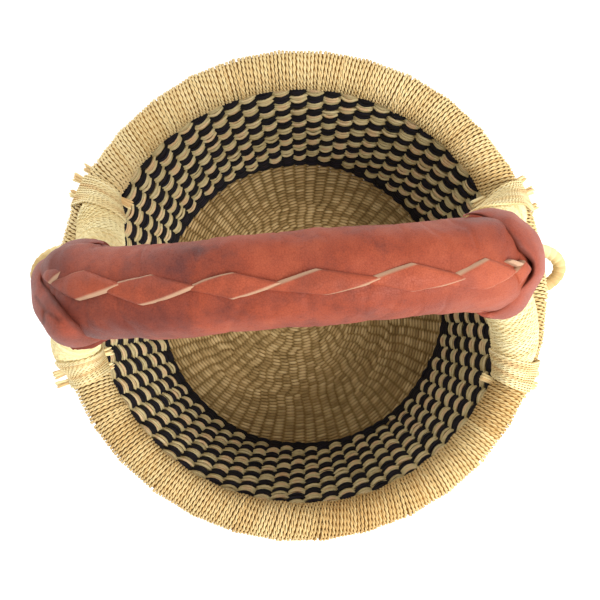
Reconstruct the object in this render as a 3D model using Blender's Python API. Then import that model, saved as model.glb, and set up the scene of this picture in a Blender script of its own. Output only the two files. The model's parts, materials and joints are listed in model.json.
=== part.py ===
"""Round bolga basket with a forked, leather-covered handle and two hanging loops.

Metres, +Z up. The origin is the centre of the base's flat underside. +X runs to the
right end of the handle and +Y to the back. The upright stakes divide every round piece,
so one step of the turn is the space between two stakes.
"""

import math
from dataclasses import dataclass

import bmesh
import bpy
from mathutils import Vector

# Gap between pieces that touch.
CLEARANCE = 0.0003
# How far a cutter runs past what it cuts.
OVERRUN = 0.004

# Upright stakes round the wall. An odd count makes two-colour twining come out checkered.
STAKES = 75

# Base mat: the twined floor.
BASE_RADIUS = 0.1315
BASE_THICKNESS = 0.0060
BASE_EDGE_ROUND = 0.0040

# Black border and checkered wall.
BORDER_HEIGHT = 0.0080
FLOOR_INSET = 0.0041
FLOOR_RADIUS = BASE_RADIUS - FLOOR_INSET
WALL_THICKNESS = 0.0050
WALL_SWELL = 0.0012
WALL_ROWS = 4

# Rim: a grass bundle bound with straw, set outwards of the wall that feeds it.
RIM_RADIUS = 0.1580
MOUTH_INSET = 0.0108
MOUTH_RADIUS = RIM_RADIUS - MOUTH_INSET
RIM_HEIGHT = 0.1460
RIM_BINDING_RADIUS = 0.0125
RIM_BINDING_THICKNESS = 0.0020
RIM_CROWN = 0.0006
STAKES_PER_CROWN = 3
RIM_SEAT_ANGLE = math.radians(247.2)
RIM_ARC_STEPS = 8
RIM_BUNDLE_SIDES = 6

# Handle arch, between its two forks, which stand over the rim and inside its circle.
FORK_RISE = 0.0940
FORK_HEIGHT = RIM_HEIGHT + FORK_RISE
ARCH_RISE = 0.0575
LEFT_FORK_INSET = 0.0400
LEFT_FORK_X = LEFT_FORK_INSET - RIM_RADIUS
LEFT_FORK_Y = -0.0022
RIGHT_FORK_INSET = 0.0530
RIGHT_FORK_X = RIM_RADIUS - RIGHT_FORK_INSET
RIGHT_FORK_Y = 0.0118
ARCH_BOW = 0.0056
ARCH_SQUARENESS = 2.2
GRIP_RADIUS = 0.0215
LEATHER_THICKNESS = 0.0022
GRIP_SEAM = 0.0012
GRIP_SIDES = 14
GRIP_LENGTH_SHARE = 0.90
ARCH_RINGS = 18

# Fork cover: a leather hood over each fork, its upper edge rolled round the end of the grip.
HOOD_THICKNESS = 0.0020
HOOD_GAP = 0.0005
HOOD_TOP_SHARE = 0.095
HOOD_SIDE_SHARE = 0.145
HOOD_LENGTH_SHARE = 0.30
HOOD_RINGS = 7
SMALL_SHARE = 0.01
ROLL_HALF_WIDTH = 0.0042
ROLL_HALF_THICKNESS = 0.0022
ROLL_STEPS = 28
ROLL_SIDES = 8
HALVINGS = 30

# Leg: half of the handle bundle, bound with straw.
LEG_RADIUS = 0.0150
LEG_BINDING_THICKNESS = 0.0035
LEG_BUNDLE_GAP = 0.0006
LEG_TOP_RISE = 0.0795
CUFF_RISE = 0.0720
FOOT_RISE = 0.0185
TOE_RISE = 0.0145
FOOT_LENGTH = 0.0300
CUFF_PULL_SHARE = 1.6
LEFT_BACK_CUFF_INSET = 0.0412
LEFT_BACK_CUFF_Y = 0.0112
LEFT_FRONT_CUFF_INSET = 0.0274
LEFT_FRONT_CUFF_Y = -0.0243
RIGHT_BACK_CUFF_INSET = 0.0556
RIGHT_BACK_CUFF_Y = 0.0318
RIGHT_FRONT_CUFF_INSET = 0.0370
RIGHT_FRONT_CUFF_Y = -0.0012
LEG_RINGS = 8
LEG_SIDES = 10
LEG_BUNDLE_SIDES = 8

# Foot lashing: one strand wound round the foot and the rim together.
STRAND_RADIUS = 0.0016
LASHING_GAP = 0.0006
LASHING_PITCH = 0.0110
LASHING_LOOPS = 3
LASHING_SETBACK = 0.0010
POINTS_PER_LOOP = 24
BALLS_PER_RING = 6
RIM_BALLS = 8
LASHING_LEAN = math.radians(30)

# Lashing ends that stand out at each foot.
END_RADIUS = 0.0024
END_LENGTH = 0.0095
END_SIDES = 6
OUTER_END_TILT = math.radians(14)
INNER_END_TILT = math.radians(-8)

# Lacing: a flat thong that shows as a row of rhombs.
LACE_RHOMBS = 6
LACE_HALF_WIDTH = 0.0068
LACE_WAIST_HALF_WIDTH = 0.0024
LACE_THICKNESS = 0.0022
LACE_EDGE_THICKNESS = 0.0008
LACE_LENGTH_SHARE = 0.76
STEPS_PER_RHOMB = 4

# Hanging loops.
LOOP_RADIUS = 0.0046
LOOP_BUNDLE_RADIUS = 0.0026
LOOP_BINDING_BORE = 0.0029
LOOP_RINGS = 12
LOOP_SIDES = 7
LOOP_SQUARENESS = 0.8
LOOP_TRIM = 0.0032
RIGHT_LOOP_WIDTH = 0.0415
RIGHT_LOOP_REACH = 0.0355
LEFT_LOOP_WIDTH = 0.0520
LEFT_LOOP_REACH = 0.0400

STRAW = (0.78, 0.64, 0.38, 1.0)
SHADED_STRAW = (0.50, 0.40, 0.22, 1.0)
CHECKERED = (0.36, 0.30, 0.19, 1.0)
DYED_BLACK = (0.012, 0.010, 0.013, 1.0)
GRASS = (0.55, 0.46, 0.27, 1.0)
LEATHER = (0.42, 0.12, 0.07, 1.0)
LACE_LEATHER = (0.56, 0.17, 0.10, 1.0)


@dataclass
class Foot:
    """One leg of the handle: where it leaves the hood, and where it lies on the rim."""
    name: str
    side: int
    cuff_inset: float
    cuff_y: float
    toe_angle: float
    toe_turn: int
    outer_ends: int
    inner_ends: int


@dataclass
class HangingLoop:
    """One hanging loop: the way it faces, its width, and how far it reaches past the rim's circle."""
    name: str
    angle: float
    width: float
    reach: float


FEET = (
    Foot("left_back", -1, LEFT_BACK_CUFF_INSET, LEFT_BACK_CUFF_Y, math.radians(147.5), -1, 3, 1),
    Foot("left_front", -1, LEFT_FRONT_CUFF_INSET, LEFT_FRONT_CUFF_Y, math.radians(204.5), 1, 2, 2),
    Foot("right_back", 1, RIGHT_BACK_CUFF_INSET, RIGHT_BACK_CUFF_Y, math.radians(31.5), 1, 3, 1),
    Foot("right_front", 1, RIGHT_FRONT_CUFF_INSET, RIGHT_FRONT_CUFF_Y, math.radians(-28.0), -1, 3, 1),
)

LOOPS = (
    HangingLoop("right", math.radians(7.0), RIGHT_LOOP_WIDTH, RIGHT_LOOP_REACH),
    HangingLoop("left", math.radians(175.0), LEFT_LOOP_WIDTH, LEFT_LOOP_REACH),
)


ACROSS = Vector((0.0, 1.0, 0.0))
UPWARDS = Vector((0.0, 0.0, 1.0))


def clear_scene():
    """Start from an empty file."""
    for existing in list(bpy.data.objects):
        bpy.data.objects.remove(existing, do_unlink=True)


def material(name, colour, roughness):
    """A plain Principled material."""
    made = bpy.data.materials.new(name)
    made.use_nodes = True
    shader = made.node_tree.nodes["Principled BSDF"]
    shader.inputs["Base Color"].default_value = colour
    shader.inputs["Roughness"].default_value = roughness
    shader.inputs["Metallic"].default_value = 0.0
    made.diffuse_color = colour
    return made


def place(name, mesh, colour, roughness=0.8):
    """Link a mesh as a named piece with its own material."""
    piece = bpy.data.objects.new(name, mesh)
    mesh.materials.clear()
    mesh.materials.append(material(name, colour, roughness))
    bpy.context.scene.collection.objects.link(piece)
    return piece


def mesh_from(name, bm, smooth=True):
    """Turn a bmesh into a mesh with its faces outwards."""
    bmesh.ops.recalc_face_normals(bm, faces=bm.faces)
    if bm.calc_volume(signed=True) < 0:
        bmesh.ops.reverse_faces(bm, faces=bm.faces)
    mesh = bpy.data.meshes.new(name)
    bm.to_mesh(mesh)
    bm.free()
    if smooth:
        mesh.shade_smooth()
        mesh.set_sharp_from_angle(angle=math.radians(40))
    return mesh


def cutter(name, bm):
    """A hidden tool body for a Boolean."""
    tool = bpy.data.objects.new(name, mesh_from(name, bm, smooth=False))
    bpy.context.scene.collection.objects.link(tool)
    tool.hide_render = True
    tool.display_type = "WIRE"
    return tool


def cut(piece, tool, operation="DIFFERENCE"):
    """Add an exact Boolean that takes the tool from the piece, or joins it."""
    boolean = piece.modifiers.new(tool.name, "BOOLEAN")
    boolean.operation = operation
    boolean.solver = "EXACT"
    boolean.object = tool


def loft(bm, rings, closed=False, capped=True):
    """Join rings of equal point count with quads, and cap the ends or close the row."""
    rows = [[bm.verts.new(point) for point in ring] for ring in rings]
    count = len(rows[0])
    spans = len(rows) if closed else len(rows) - 1
    for step in range(spans):
        here = rows[step]
        there = rows[(step + 1) % len(rows)]
        for side in range(count):
            other = (side + 1) % count
            bm.faces.new((here[side], here[other], there[other], there[side]))
    if capped and not closed:
        bm.faces.new(rows[0])
        bm.faces.new(rows[-1])
    return rows


def turn(bm, profile_at):
    """Turn a closed profile, given as (radius, height) points at each stake, about Z."""
    rings = []
    for stake in range(STAKES):
        angle = math.tau * stake / STAKES
        rings.append([
            Vector((radius * math.cos(angle), radius * math.sin(angle), height))
            for radius, height in profile_at(stake)
        ])
    loft(bm, rings, closed=True)


def on_rim(angle, radius, height):
    """The point at a rim angle, a distance from the axis and a height."""
    return Vector((radius * math.cos(angle), radius * math.sin(angle), height))


def bezier_path(start, leave, arrive, end, steps):
    """A cubic Bezier curve from start to end, steered by two handles."""
    path = []
    for step in range(steps + 1):
        share = step / steps
        rest = 1.0 - share
        path.append(
            start * rest ** 3
            + leave * 3 * rest ** 2 * share
            + arrive * 3 * rest * share ** 2
            + end * share ** 3
        )
    return path


def frames_along(path, up):
    """A (tangent, side, top) triple at each point, with top kept near the given direction."""
    frames = []
    for index, point in enumerate(path):
        ahead = path[min(index + 1, len(path) - 1)]
        behind = path[max(index - 1, 0)]
        tangent = (ahead - behind).normalized()
        side = tangent.cross(up).normalized()
        frames.append((tangent, side, side.cross(tangent)))
    return frames


def circle(radius, sides, start=0.0):
    """A ring of (side, top) offsets."""
    angles = [start + math.tau * index / sides for index in range(sides)]
    return [(radius * math.cos(angle), radius * math.sin(angle)) for angle in angles]


def sweep(bm, path, up, section_at, capped=True):
    """Carry a closed (side, top) section along a path."""
    rings = []
    for index, (point, frame) in enumerate(zip(path, frames_along(path, up))):
        side, top = frame[1], frame[2]
        rings.append([point + side * across + top * above for across, above in section_at(index)])
    return loft(bm, rings, capped=capped)


def tube_wall(bm, path, up, outer, inner, sides):
    """A round sleeve, open at both ends."""
    outside = sweep(bm, path, up, lambda index: circle(outer, sides), capped=False)
    inside = sweep(bm, path, up, lambda index: circle(inner, sides), capped=False)
    for end in (0, -1):
        for side in range(sides):
            other = (side + 1) % sides
            bm.faces.new((outside[end][side], outside[end][other], inside[end][other], inside[end][side]))


def base_mat():
    """The floor: a disc with a rounded lower edge."""
    bm = bmesh.new()
    profile = (
        (BASE_RADIUS - BASE_EDGE_ROUND, 0.0),
        (BASE_RADIUS, BASE_EDGE_ROUND),
        (BASE_RADIUS, BASE_THICKNESS),
    )
    rings = [
        [on_rim(math.tau * stake / STAKES, radius, height) for stake in range(STAKES)]
        for radius, height in profile
    ]
    loft(bm, rings)
    return place("base_mat", mesh_from("base_mat", bm), SHADED_STRAW)


WALL_FOOT = BASE_THICKNESS + CLEARANCE
WALL_START = WALL_FOOT + BORDER_HEIGHT + CLEARANCE
RIM_BUNDLE_RADIUS = RIM_BINDING_RADIUS - RIM_BINDING_THICKNESS - CLEARANCE


def wall_inner(height):
    """The wall's inner radius: a cone from floor to mouth that swells a little between."""
    share = (height - WALL_FOOT) / (wall_seat(MOUTH_RADIUS) - WALL_FOOT)
    lean = FLOOR_RADIUS + (MOUTH_RADIUS - FLOOR_RADIUS) * share
    return lean + WALL_SWELL * math.sin(math.pi * min(max(share, 0.0), 1.0))


def wall_seat(radius):
    """Height at which the wall's slanted top edge meets the rim bundle, at a radius."""
    reach = RIM_BUNDLE_RADIUS + CLEARANCE
    offset = radius - RIM_RADIUS
    return RIM_HEIGHT + (reach - offset * math.cos(RIM_SEAT_ANGLE)) / math.sin(RIM_SEAT_ANGLE)


def base_border():
    """The black rows at the foot of the wall."""
    bm = bmesh.new()
    top = WALL_FOOT + BORDER_HEIGHT
    profile = (
        (wall_inner(WALL_FOOT), WALL_FOOT),
        (wall_inner(WALL_FOOT) + WALL_THICKNESS, WALL_FOOT),
        (wall_inner(top) + WALL_THICKNESS, top),
        (wall_inner(top), top),
    )
    turn(bm, lambda stake: profile)
    return place("base_border", mesh_from("base_border", bm), DYED_BLACK)


def wall_weave():
    """The checkered wall: a leaning shell whose top edge seats under the rim bundle."""
    inner_rise = wall_seat(MOUTH_RADIUS) - WALL_START
    outer_rise = wall_seat(MOUTH_RADIUS + WALL_THICKNESS) - WALL_START
    inner = [WALL_START + inner_rise * row / WALL_ROWS for row in range(WALL_ROWS + 1)]
    outer = [WALL_START + outer_rise * row / WALL_ROWS for row in range(WALL_ROWS + 1)]
    profile = [(wall_inner(height) + WALL_THICKNESS, height) for height in outer]
    profile.extend((wall_inner(height), height) for height in reversed(inner))
    bm = bmesh.new()
    turn(bm, lambda stake: profile)
    return place("wall_weave", mesh_from("wall_weave", bm), CHECKERED)


def rim_arc():
    """Where the binding's C section starts and ends, and half of one of its facets."""
    wall_outer_offset = MOUTH_RADIUS + WALL_THICKNESS + CLEARANCE - RIM_RADIUS
    start = math.tau - math.acos(wall_outer_offset / RIM_BINDING_RADIUS)
    mouth = math.acos(RIM_BUNDLE_RADIUS / RIM_BINDING_RADIUS)
    end = RIM_SEAT_ANGLE - mouth + math.tau
    return start, end, (end - start) / RIM_ARC_STEPS / 2


def rim_outline(stake, grow):
    """The binding's outside at a stake, crowned between the wall's two faces, grown by a distance."""
    start, end, half_step = rim_arc()
    crown = RIM_CROWN if stake % STAKES_PER_CROWN == 0 else 0.0
    outline = []
    for step in range(RIM_ARC_STEPS + 1):
        angle = start + (end - start) * step / RIM_ARC_STEPS
        swell = crown if 0 < step < RIM_ARC_STEPS else 0.0
        reach = RIM_BINDING_RADIUS + swell + grow / math.cos(half_step)
        outline.append((RIM_RADIUS + reach * math.cos(angle), RIM_HEIGHT + reach * math.sin(angle)))
    return outline


def rim_section(stake):
    """The binding's C section at a stake: round outside and inside, open where the wall enters."""
    start, end, half_step = rim_arc()
    section = rim_outline(stake, 0.0)
    bore = (RIM_BINDING_RADIUS - RIM_BINDING_THICKNESS) / math.cos(half_step)
    for step in range(RIM_ARC_STEPS, -1, -1):
        angle = start + (end - start) * step / RIM_ARC_STEPS
        section.append((RIM_RADIUS + bore * math.cos(angle), RIM_HEIGHT + bore * math.sin(angle)))
    return section


def rim_binding():
    """The straw wound round the rim."""
    bm = bmesh.new()
    turn(bm, rim_section)
    return place("rim_binding", mesh_from("rim_binding", bm), STRAW)


def rim_bundle():
    """The grass bundle inside the binding, with a flat towards the wall's top edge."""
    sides = RIM_BUNDLE_SIDES
    first = RIM_SEAT_ANGLE - math.pi / sides
    profile = [
        (
            RIM_RADIUS + RIM_BUNDLE_RADIUS * math.cos(first + math.tau * index / sides),
            RIM_HEIGHT + RIM_BUNDLE_RADIUS * math.sin(first + math.tau * index / sides),
        )
        for index in range(sides)
    ]
    bm = bmesh.new()
    turn(bm, lambda stake: profile)
    return place("rim_bundle", mesh_from("rim_bundle", bm), GRASS)


def rim_cutter():
    """The rim's outside grown by the clearance, which shapes what sits on it."""
    bm = bmesh.new()
    turn(bm, lambda stake: rim_outline(stake, CLEARANCE))
    return cutter("rim_cutter", bm)


def arch_point(share):
    """A point of the handle's centre line: 0 at the left fork, 1 at the right fork."""
    angle = math.pi * (1.0 - share)
    power = 2.0 / ARCH_SQUARENESS
    level = math.copysign(abs(math.cos(angle)) ** power, math.cos(angle))
    rise = max(math.sin(angle), 0.0) ** power
    along = (1.0 + level) / 2.0
    x = LEFT_FORK_X + (RIGHT_FORK_X - LEFT_FORK_X) * along
    y = LEFT_FORK_Y + (RIGHT_FORK_Y - LEFT_FORK_Y) * along
    y -= ARCH_BOW * math.sin(math.pi * along)
    return Vector((x, y, FORK_HEIGHT + ARCH_RISE * rise))


def arch_path(length_share, rings):
    """The middle part of the handle's centre line."""
    first = (1.0 - length_share) / 2.0
    return [arch_point(first + length_share * step / rings) for step in range(rings + 1)]


def arch_sweep(bm, path, section_at, capped=True):
    """Sweep along the arch. The section's first offset points out of the arch."""
    rings = []
    for index, (point, frame) in enumerate(zip(path, frames_along(path, ACROSS))):
        outwards, across = frame[1], frame[2]
        rings.append([point + outwards * out + across * aside for out, aside in section_at(index)])
    return loft(bm, rings, capped=capped)


def handle_bundle():
    """The straw core of the arch, from fork to fork."""
    radius = GRIP_RADIUS - LEATHER_THICKNESS - CLEARANCE
    path = arch_path(1.0, ARCH_RINGS)
    path.insert(0, path[0] - UPWARDS * OVERRUN)
    path.append(path[-1] - UPWARDS * OVERRUN)
    bm = bmesh.new()
    arch_sweep(bm, path, lambda index: circle(radius, GRIP_SIDES))
    slice_off(bm, fork(-1), -UPWARDS)
    return place("handle_bundle", mesh_from("handle_bundle", bm), GRASS)


def grip_cover():
    """The leather sleeve round the arch, with its seam open along the top."""
    inner = (GRIP_RADIUS - LEATHER_THICKNESS) / math.cos(math.pi / GRIP_SIDES)
    half_seam = GRIP_SEAM / 2 / GRIP_RADIUS
    arc = math.tau - 2 * half_seam
    angles = [half_seam + arc * step / GRIP_SIDES for step in range(GRIP_SIDES + 1)]
    section = [(GRIP_RADIUS * math.cos(angle), GRIP_RADIUS * math.sin(angle)) for angle in angles]
    section.extend((inner * math.cos(angle), inner * math.sin(angle)) for angle in reversed(angles))
    bm = bmesh.new()
    arch_sweep(bm, arch_path(GRIP_LENGTH_SHARE, ARCH_RINGS), lambda index: section)
    return place("grip_cover", mesh_from("grip_cover", bm), LEATHER, 0.6)


def lace_half_width(index):
    """Half the lacing's width: widest at the middle of each rhomb."""
    place_on = index / STEPS_PER_RHOMB
    swing = abs(2 * (place_on - math.floor(place_on)) - 1.0)
    return LACE_HALF_WIDTH + (LACE_WAIST_HALF_WIDTH - LACE_HALF_WIDTH) * swing


def grip_lacing():
    """The flat thong over the seam, one strip whose edges run out and in as rhombs."""
    seat = GRIP_RADIUS + CLEARANCE

    def section(index):
        half = lace_half_width(index)
        drop = GRIP_RADIUS - math.sqrt(GRIP_RADIUS ** 2 - half ** 2)
        low = seat - drop
        return (
            (low, -half),
            (low + LACE_EDGE_THICKNESS, -half),
            (seat + LACE_THICKNESS, 0.0),
            (low + LACE_EDGE_THICKNESS, half),
            (low, half),
            (seat, 0.0),
        )

    bm = bmesh.new()
    arch_sweep(bm, arch_path(LACE_LENGTH_SHARE, LACE_RHOMBS * STEPS_PER_RHOMB), section)
    return place("grip_lacing", mesh_from("grip_lacing", bm, smooth=False), LACE_LEATHER, 0.6)


def fork(side):
    """The fork point at one end of the handle."""
    return arch_point(1.0 if side > 0 else 0.0)


def fork_side(foot):
    """On which side of its fork a leg lies: 1 at the back, -1 in front."""
    return 1 if math.sin(foot.toe_angle) > 0 else -1


def leg_path(foot, steps):
    """Centre line of a leg: out of the fork, by the hood's cuff, down onto the rim."""
    apex = fork(foot.side)
    cuff = Vector((foot.side * (RIM_RADIUS - foot.cuff_inset), foot.cuff_y, RIM_HEIGHT + CUFF_RISE))
    half_split = (GRIP_RADIUS - LEATHER_THICKNESS) / 2
    start = apex + ACROSS * half_split * fork_side(foot)
    leave = start.lerp(cuff, CUFF_PULL_SHARE)
    back = FOOT_LENGTH / RIM_RADIUS * foot.toe_turn
    arrive = on_rim(foot.toe_angle - back, RIM_RADIUS, RIM_HEIGHT + FOOT_RISE)
    toe = on_rim(foot.toe_angle, RIM_RADIUS, RIM_HEIGHT + TOE_RISE)
    return bezier_path(start, leave, arrive, toe, steps)


def facing_out(foot):
    """The way from the basket's axis to a foot, which stays square to its leg."""
    return on_rim(foot.toe_angle, 1.0, 0.0)


def at_height(before, after, height):
    """The point of a falling line at a height."""
    return before.lerp(after, (height - before.z) / (after.z - before.z))


def below(path, height):
    """The part of a falling path that lies below a height, started exactly on it."""
    for index in range(1, len(path)):
        if path[index].z < height:
            return [at_height(path[index - 1], path[index], height), *path[index:]]
    return path


def above(path, height):
    """The part of a falling path that lies above a height, ended exactly on it."""
    for index in range(1, len(path)):
        if path[index].z < height:
            return [*path[:index], at_height(path[index - 1], path[index], height)]
    return path


def leg_bundle(foot, rim_tool):
    """Half of the handle bundle, cut to its neighbour, the arch and the rim."""
    radius = LEG_RADIUS - LEG_BINDING_THICKNESS - LEG_BUNDLE_GAP
    path = leg_path(foot, LEG_RINGS)
    apex = fork(foot.side)
    bm = bmesh.new()
    sweep(bm, path, facing_out(foot), lambda index: circle(radius, LEG_BUNDLE_SIDES))
    slice_off(bm, apex + ACROSS * CLEARANCE * fork_side(foot), ACROSS * -fork_side(foot))
    slice_off(bm, apex - UPWARDS * CLEARANCE, UPWARDS)
    name = "leg_bundle_" + foot.name
    piece = place(name, mesh_from(name, bm), GRASS)
    cut(piece, rim_tool)
    return piece


def slice_off(bm, point, direction):
    """Cut the solid at a plane, drop what lies in the given direction and close the cut."""
    everything = list(bm.verts) + list(bm.edges) + list(bm.faces)
    result = bmesh.ops.bisect_plane(
        bm, geom=everything, plane_co=point, plane_no=direction.normalized(), clear_outer=True
    )
    rim = [item for item in result["geom_cut"] if isinstance(item, bmesh.types.BMEdge)]
    if rim:
        bmesh.ops.edgeloop_fill(bm, edges=rim)


def leg_binding(foot, rim_tool):
    """The straw wound round a leg, open at its top and saddled onto the rim."""
    path = below(leg_path(foot, LEG_RINGS), RIM_HEIGHT + LEG_TOP_RISE)
    bore = (LEG_RADIUS - LEG_BINDING_THICKNESS) / math.cos(math.pi / LEG_SIDES)
    bm = bmesh.new()
    tube_wall(bm, path, facing_out(foot), LEG_RADIUS, bore, LEG_SIDES)
    name = "leg_binding_" + foot.name
    piece = place(name, mesh_from(name, bm), STRAW)
    cut(piece, rim_tool)
    return piece


def from_end(side, share):
    """A point of the handle's centre line, counted from one of its ends."""
    return arch_point(1.0 - share if side > 0 else share)


def hood_tool(name, side, grow, extra):
    """A union of the arch's end and its two upper legs, grown by a distance."""
    path = [from_end(side, HOOD_LENGTH_SHARE * step / HOOD_RINGS) for step in range(HOOD_RINGS + 1)]
    path.insert(0, path[0] - UPWARDS * (grow + OVERRUN))
    if extra:
        path.append(path[-1] + (path[-1] - path[-2]).normalized() * extra)
    bm = bmesh.new()
    around_grip = (GRIP_RADIUS + grow) / math.cos(math.pi / GRIP_SIDES)
    around_leg = (LEG_RADIUS + grow) / math.cos(math.pi / LEG_SIDES)
    arch_sweep(bm, path, lambda index: circle(around_grip, GRIP_SIDES))
    tool = cutter(name, bm)
    for foot in FEET:
        if foot.side == side:
            bm = bmesh.new()
            path = above(leg_path(foot, LEG_RINGS), RIM_HEIGHT + CUFF_RISE - extra)
            path.insert(0, path[0] + (path[0] - path[1]).normalized() * grow)
            sweep(bm, path, facing_out(foot), lambda index: circle(around_leg, LEG_SIDES))
            cut(tool, cutter(name + "_" + foot.name, bm), "UNION")
    return tool


def outwards_from_arch(side, share):
    """The way out of the arch at a point counted from one end."""
    along = from_end(side, share + SMALL_SHARE) - from_end(side, share)
    return along.normalized().cross(ACROSS) * -side


def slant(side):
    """The plane on which the hood is cut open for the grip: a point, its slope and its upper side."""
    far = from_end(side, HOOD_SIDE_SHARE)
    run = far - from_end(side, HOOD_TOP_SHARE) - outwards_from_arch(side, HOOD_TOP_SHARE) * GRIP_RADIUS
    run.y = 0.0
    return far, run, run.normalized().cross(ACROSS) * -side


def slant_cutter(name, side):
    """A block above the slanted line on which the hood is cut open for the grip."""
    far, run, top = slant(side)
    across = ACROSS * GRIP_RADIUS * 2
    start = far - run * 3
    finish = far + run * 3
    corners = [start + across, finish + across, finish - across, start - across]
    bm = bmesh.new()
    loft(bm, [corners, [corner + top * GRIP_RADIUS * 4 for corner in corners]])
    return cutter(name, bm)


def on_slant(side, angle):
    """Where the rolled edge passes at an angle round the grip, and the way out from the grip there.

    The place along the arch is halved towards the hood's cut edge.
    """
    far, run, top = slant(side)
    edge = GRIP_RADIUS + HOOD_GAP + HOOD_THICKNESS / 2
    reach = (edge + ROLL_HALF_THICKNESS) / math.cos(math.pi / ROLL_STEPS)
    low, high = 0.0, HOOD_LENGTH_SHARE
    for _ in range(HALVINGS):
        share = (low + high) / 2
        out = outwards_from_arch(side, share) * math.cos(angle) + ACROSS * math.sin(angle)
        middle = from_end(side, share)
        if (middle + out * edge - far).dot(top) > 0:
            high = share
        else:
            low = share
    return middle + out * reach, out


def hood_roll(name, side):
    """The hood's rolled upper edge, a flattened ring round the end of the grip."""
    places = [on_slant(side, math.tau * step / ROLL_STEPS) for step in range(ROLL_STEPS)]
    rings = []
    for step, (point, out) in enumerate(places):
        around = places[(step + 1) % ROLL_STEPS][0] - places[step - 1][0]
        wide = around.cross(out).normalized() * ROLL_HALF_WIDTH
        thick = out.normalized() * ROLL_HALF_THICKNESS
        rings.append([point + wide * a + thick * b for a, b in circle(1.0, ROLL_SIDES)])
    bm = bmesh.new()
    loft(bm, rings, closed=True)
    return cutter(name, bm)


def fork_cover(side):
    """The leather hood over a fork, cut back on a slant where the grip leaves it, its edge rolled."""
    name = "fork_cover_" + ("right" if side > 0 else "left")
    hood = hood_tool(name, side, HOOD_THICKNESS + HOOD_GAP, 0.0)
    cut(hood, hood_tool(name + "_bore", side, HOOD_GAP, OVERRUN))
    cut(hood, slant_cutter(name + "_slant", side))
    cut(hood, hood_roll(name + "_roll", side), "UNION")
    hood.hide_render = False
    hood.display_type = "TEXTURED"
    hood.data.materials.append(material(name, LEATHER, 0.6))
    return hood


def farthest(discs, around, rise):
    """The outermost point of some (across, upright, size) discs in one direction."""
    across, upright, size = max(discs, key=lambda disc: disc[0] * around + disc[1] * rise + disc[2])
    return across + size * around, upright + size * rise


def lashing_point(foot, path, turns):
    """A point of the lashing after so many turns, on the hull of rim and leg in a leaning plane.

    Rim and leg are rows of balls, and the plane cuts each ball in a disc.
    """
    travel = LASHING_SETBACK + LASHING_PITCH * turns
    angle = foot.toe_angle - foot.toe_turn * travel / RIM_RADIUS
    middle = on_rim(angle, RIM_RADIUS, RIM_HEIGHT)
    outwards = on_rim(angle, 1.0, 0.0)
    toewards = UPWARDS.cross(outwards) * foot.toe_turn
    upright = UPWARDS * math.cos(LASHING_LEAN) + toewards * math.sin(LASHING_LEAN)
    normal = outwards.cross(upright)
    off = LASHING_GAP + STRAND_RADIUS
    balls = [(centre, LEG_RADIUS + off) for centre in path]
    for step in range(-RIM_BALLS, RIM_BALLS + 1):
        beside = angle + step * RIM_BINDING_RADIUS / RIM_RADIUS / RIM_BALLS
        centre = on_rim(beside, RIM_RADIUS, RIM_HEIGHT)
        balls.append((centre, RIM_BINDING_RADIUS + RIM_CROWN + off))
    discs = []
    for centre, size in balls:
        depth = (centre - middle).dot(normal)
        if abs(depth) < size:
            spot = centre - middle
            discs.append((spot.dot(outwards), spot.dot(upright), math.sqrt(size ** 2 - depth ** 2)))
    facing = -math.pi / 2 + math.tau * turns
    across, rise = farthest(discs, math.cos(facing), math.sin(facing))
    return middle + outwards * across + upright * rise


def lashing_route(foot):
    """The lashing's centre line, with a straight tail of one diameter at each end."""
    path = leg_path(foot, LEG_RINGS * BALLS_PER_RING)
    steps = LASHING_LOOPS * POINTS_PER_LOOP
    route = [lashing_point(foot, path, LASHING_LOOPS * step / steps) for step in range(steps + 1)]
    tail = 2 * STRAND_RADIUS
    head = (route[0] - route[1]).normalized() * tail
    end = (route[-1] - route[-2]).normalized() * tail
    return [route[0] + head, *route, route[-1] + end]


def least_gap(route):
    """The least free distance between two turns of a winding."""
    nearest = math.inf
    for index, point in enumerate(route):
        for other in route[index + POINTS_PER_LOOP // 2:]:
            nearest = min(nearest, (point - other).length)
    return nearest - 2 * STRAND_RADIUS


def foot_lashing(foot):
    """One strand wound round foot and rim."""
    route = lashing_route(foot)
    name = "foot_lashing_" + foot.name
    curve = bpy.data.curves.new(name, "CURVE")
    curve.dimensions = "3D"
    curve.bevel_depth = STRAND_RADIUS
    curve.bevel_resolution = 1
    curve.use_fill_caps = True
    curve.render_resolution_u = 0
    spline = curve.splines.new("POLY")
    spline.points.add(len(route) - 1)
    for spot, point in zip(spline.points, route):
        spot.co = (*point, 1.0)
    curve.materials.append(material(name, STRAW, 0.8))
    piece = bpy.data.objects.new(name, curve)
    bpy.context.scene.collection.objects.link(piece)
    print(name, "least gap to itself, mm:", round(least_gap(route) * 1000, 2))
    return piece


def wall_passes(foot):
    """The stretches of a foot's lashing that run through the wall under the rim."""
    near = MOUTH_RADIUS - OVERRUN
    far = MOUTH_RADIUS + WALL_THICKNESS + STRAND_RADIUS + CLEARANCE
    passes = []
    inside = False
    route = lashing_route(foot)
    for before, point, after in zip(route, route[1:], route[2:]):
        radius = math.hypot(point.x, point.y)
        within = near < radius < far and point.z < RIM_HEIGHT - RIM_BUNDLE_RADIUS
        if within and not inside:
            passes.append([before])
        if within:
            passes[-1].extend((point, after))
        inside = within
    return passes


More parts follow.
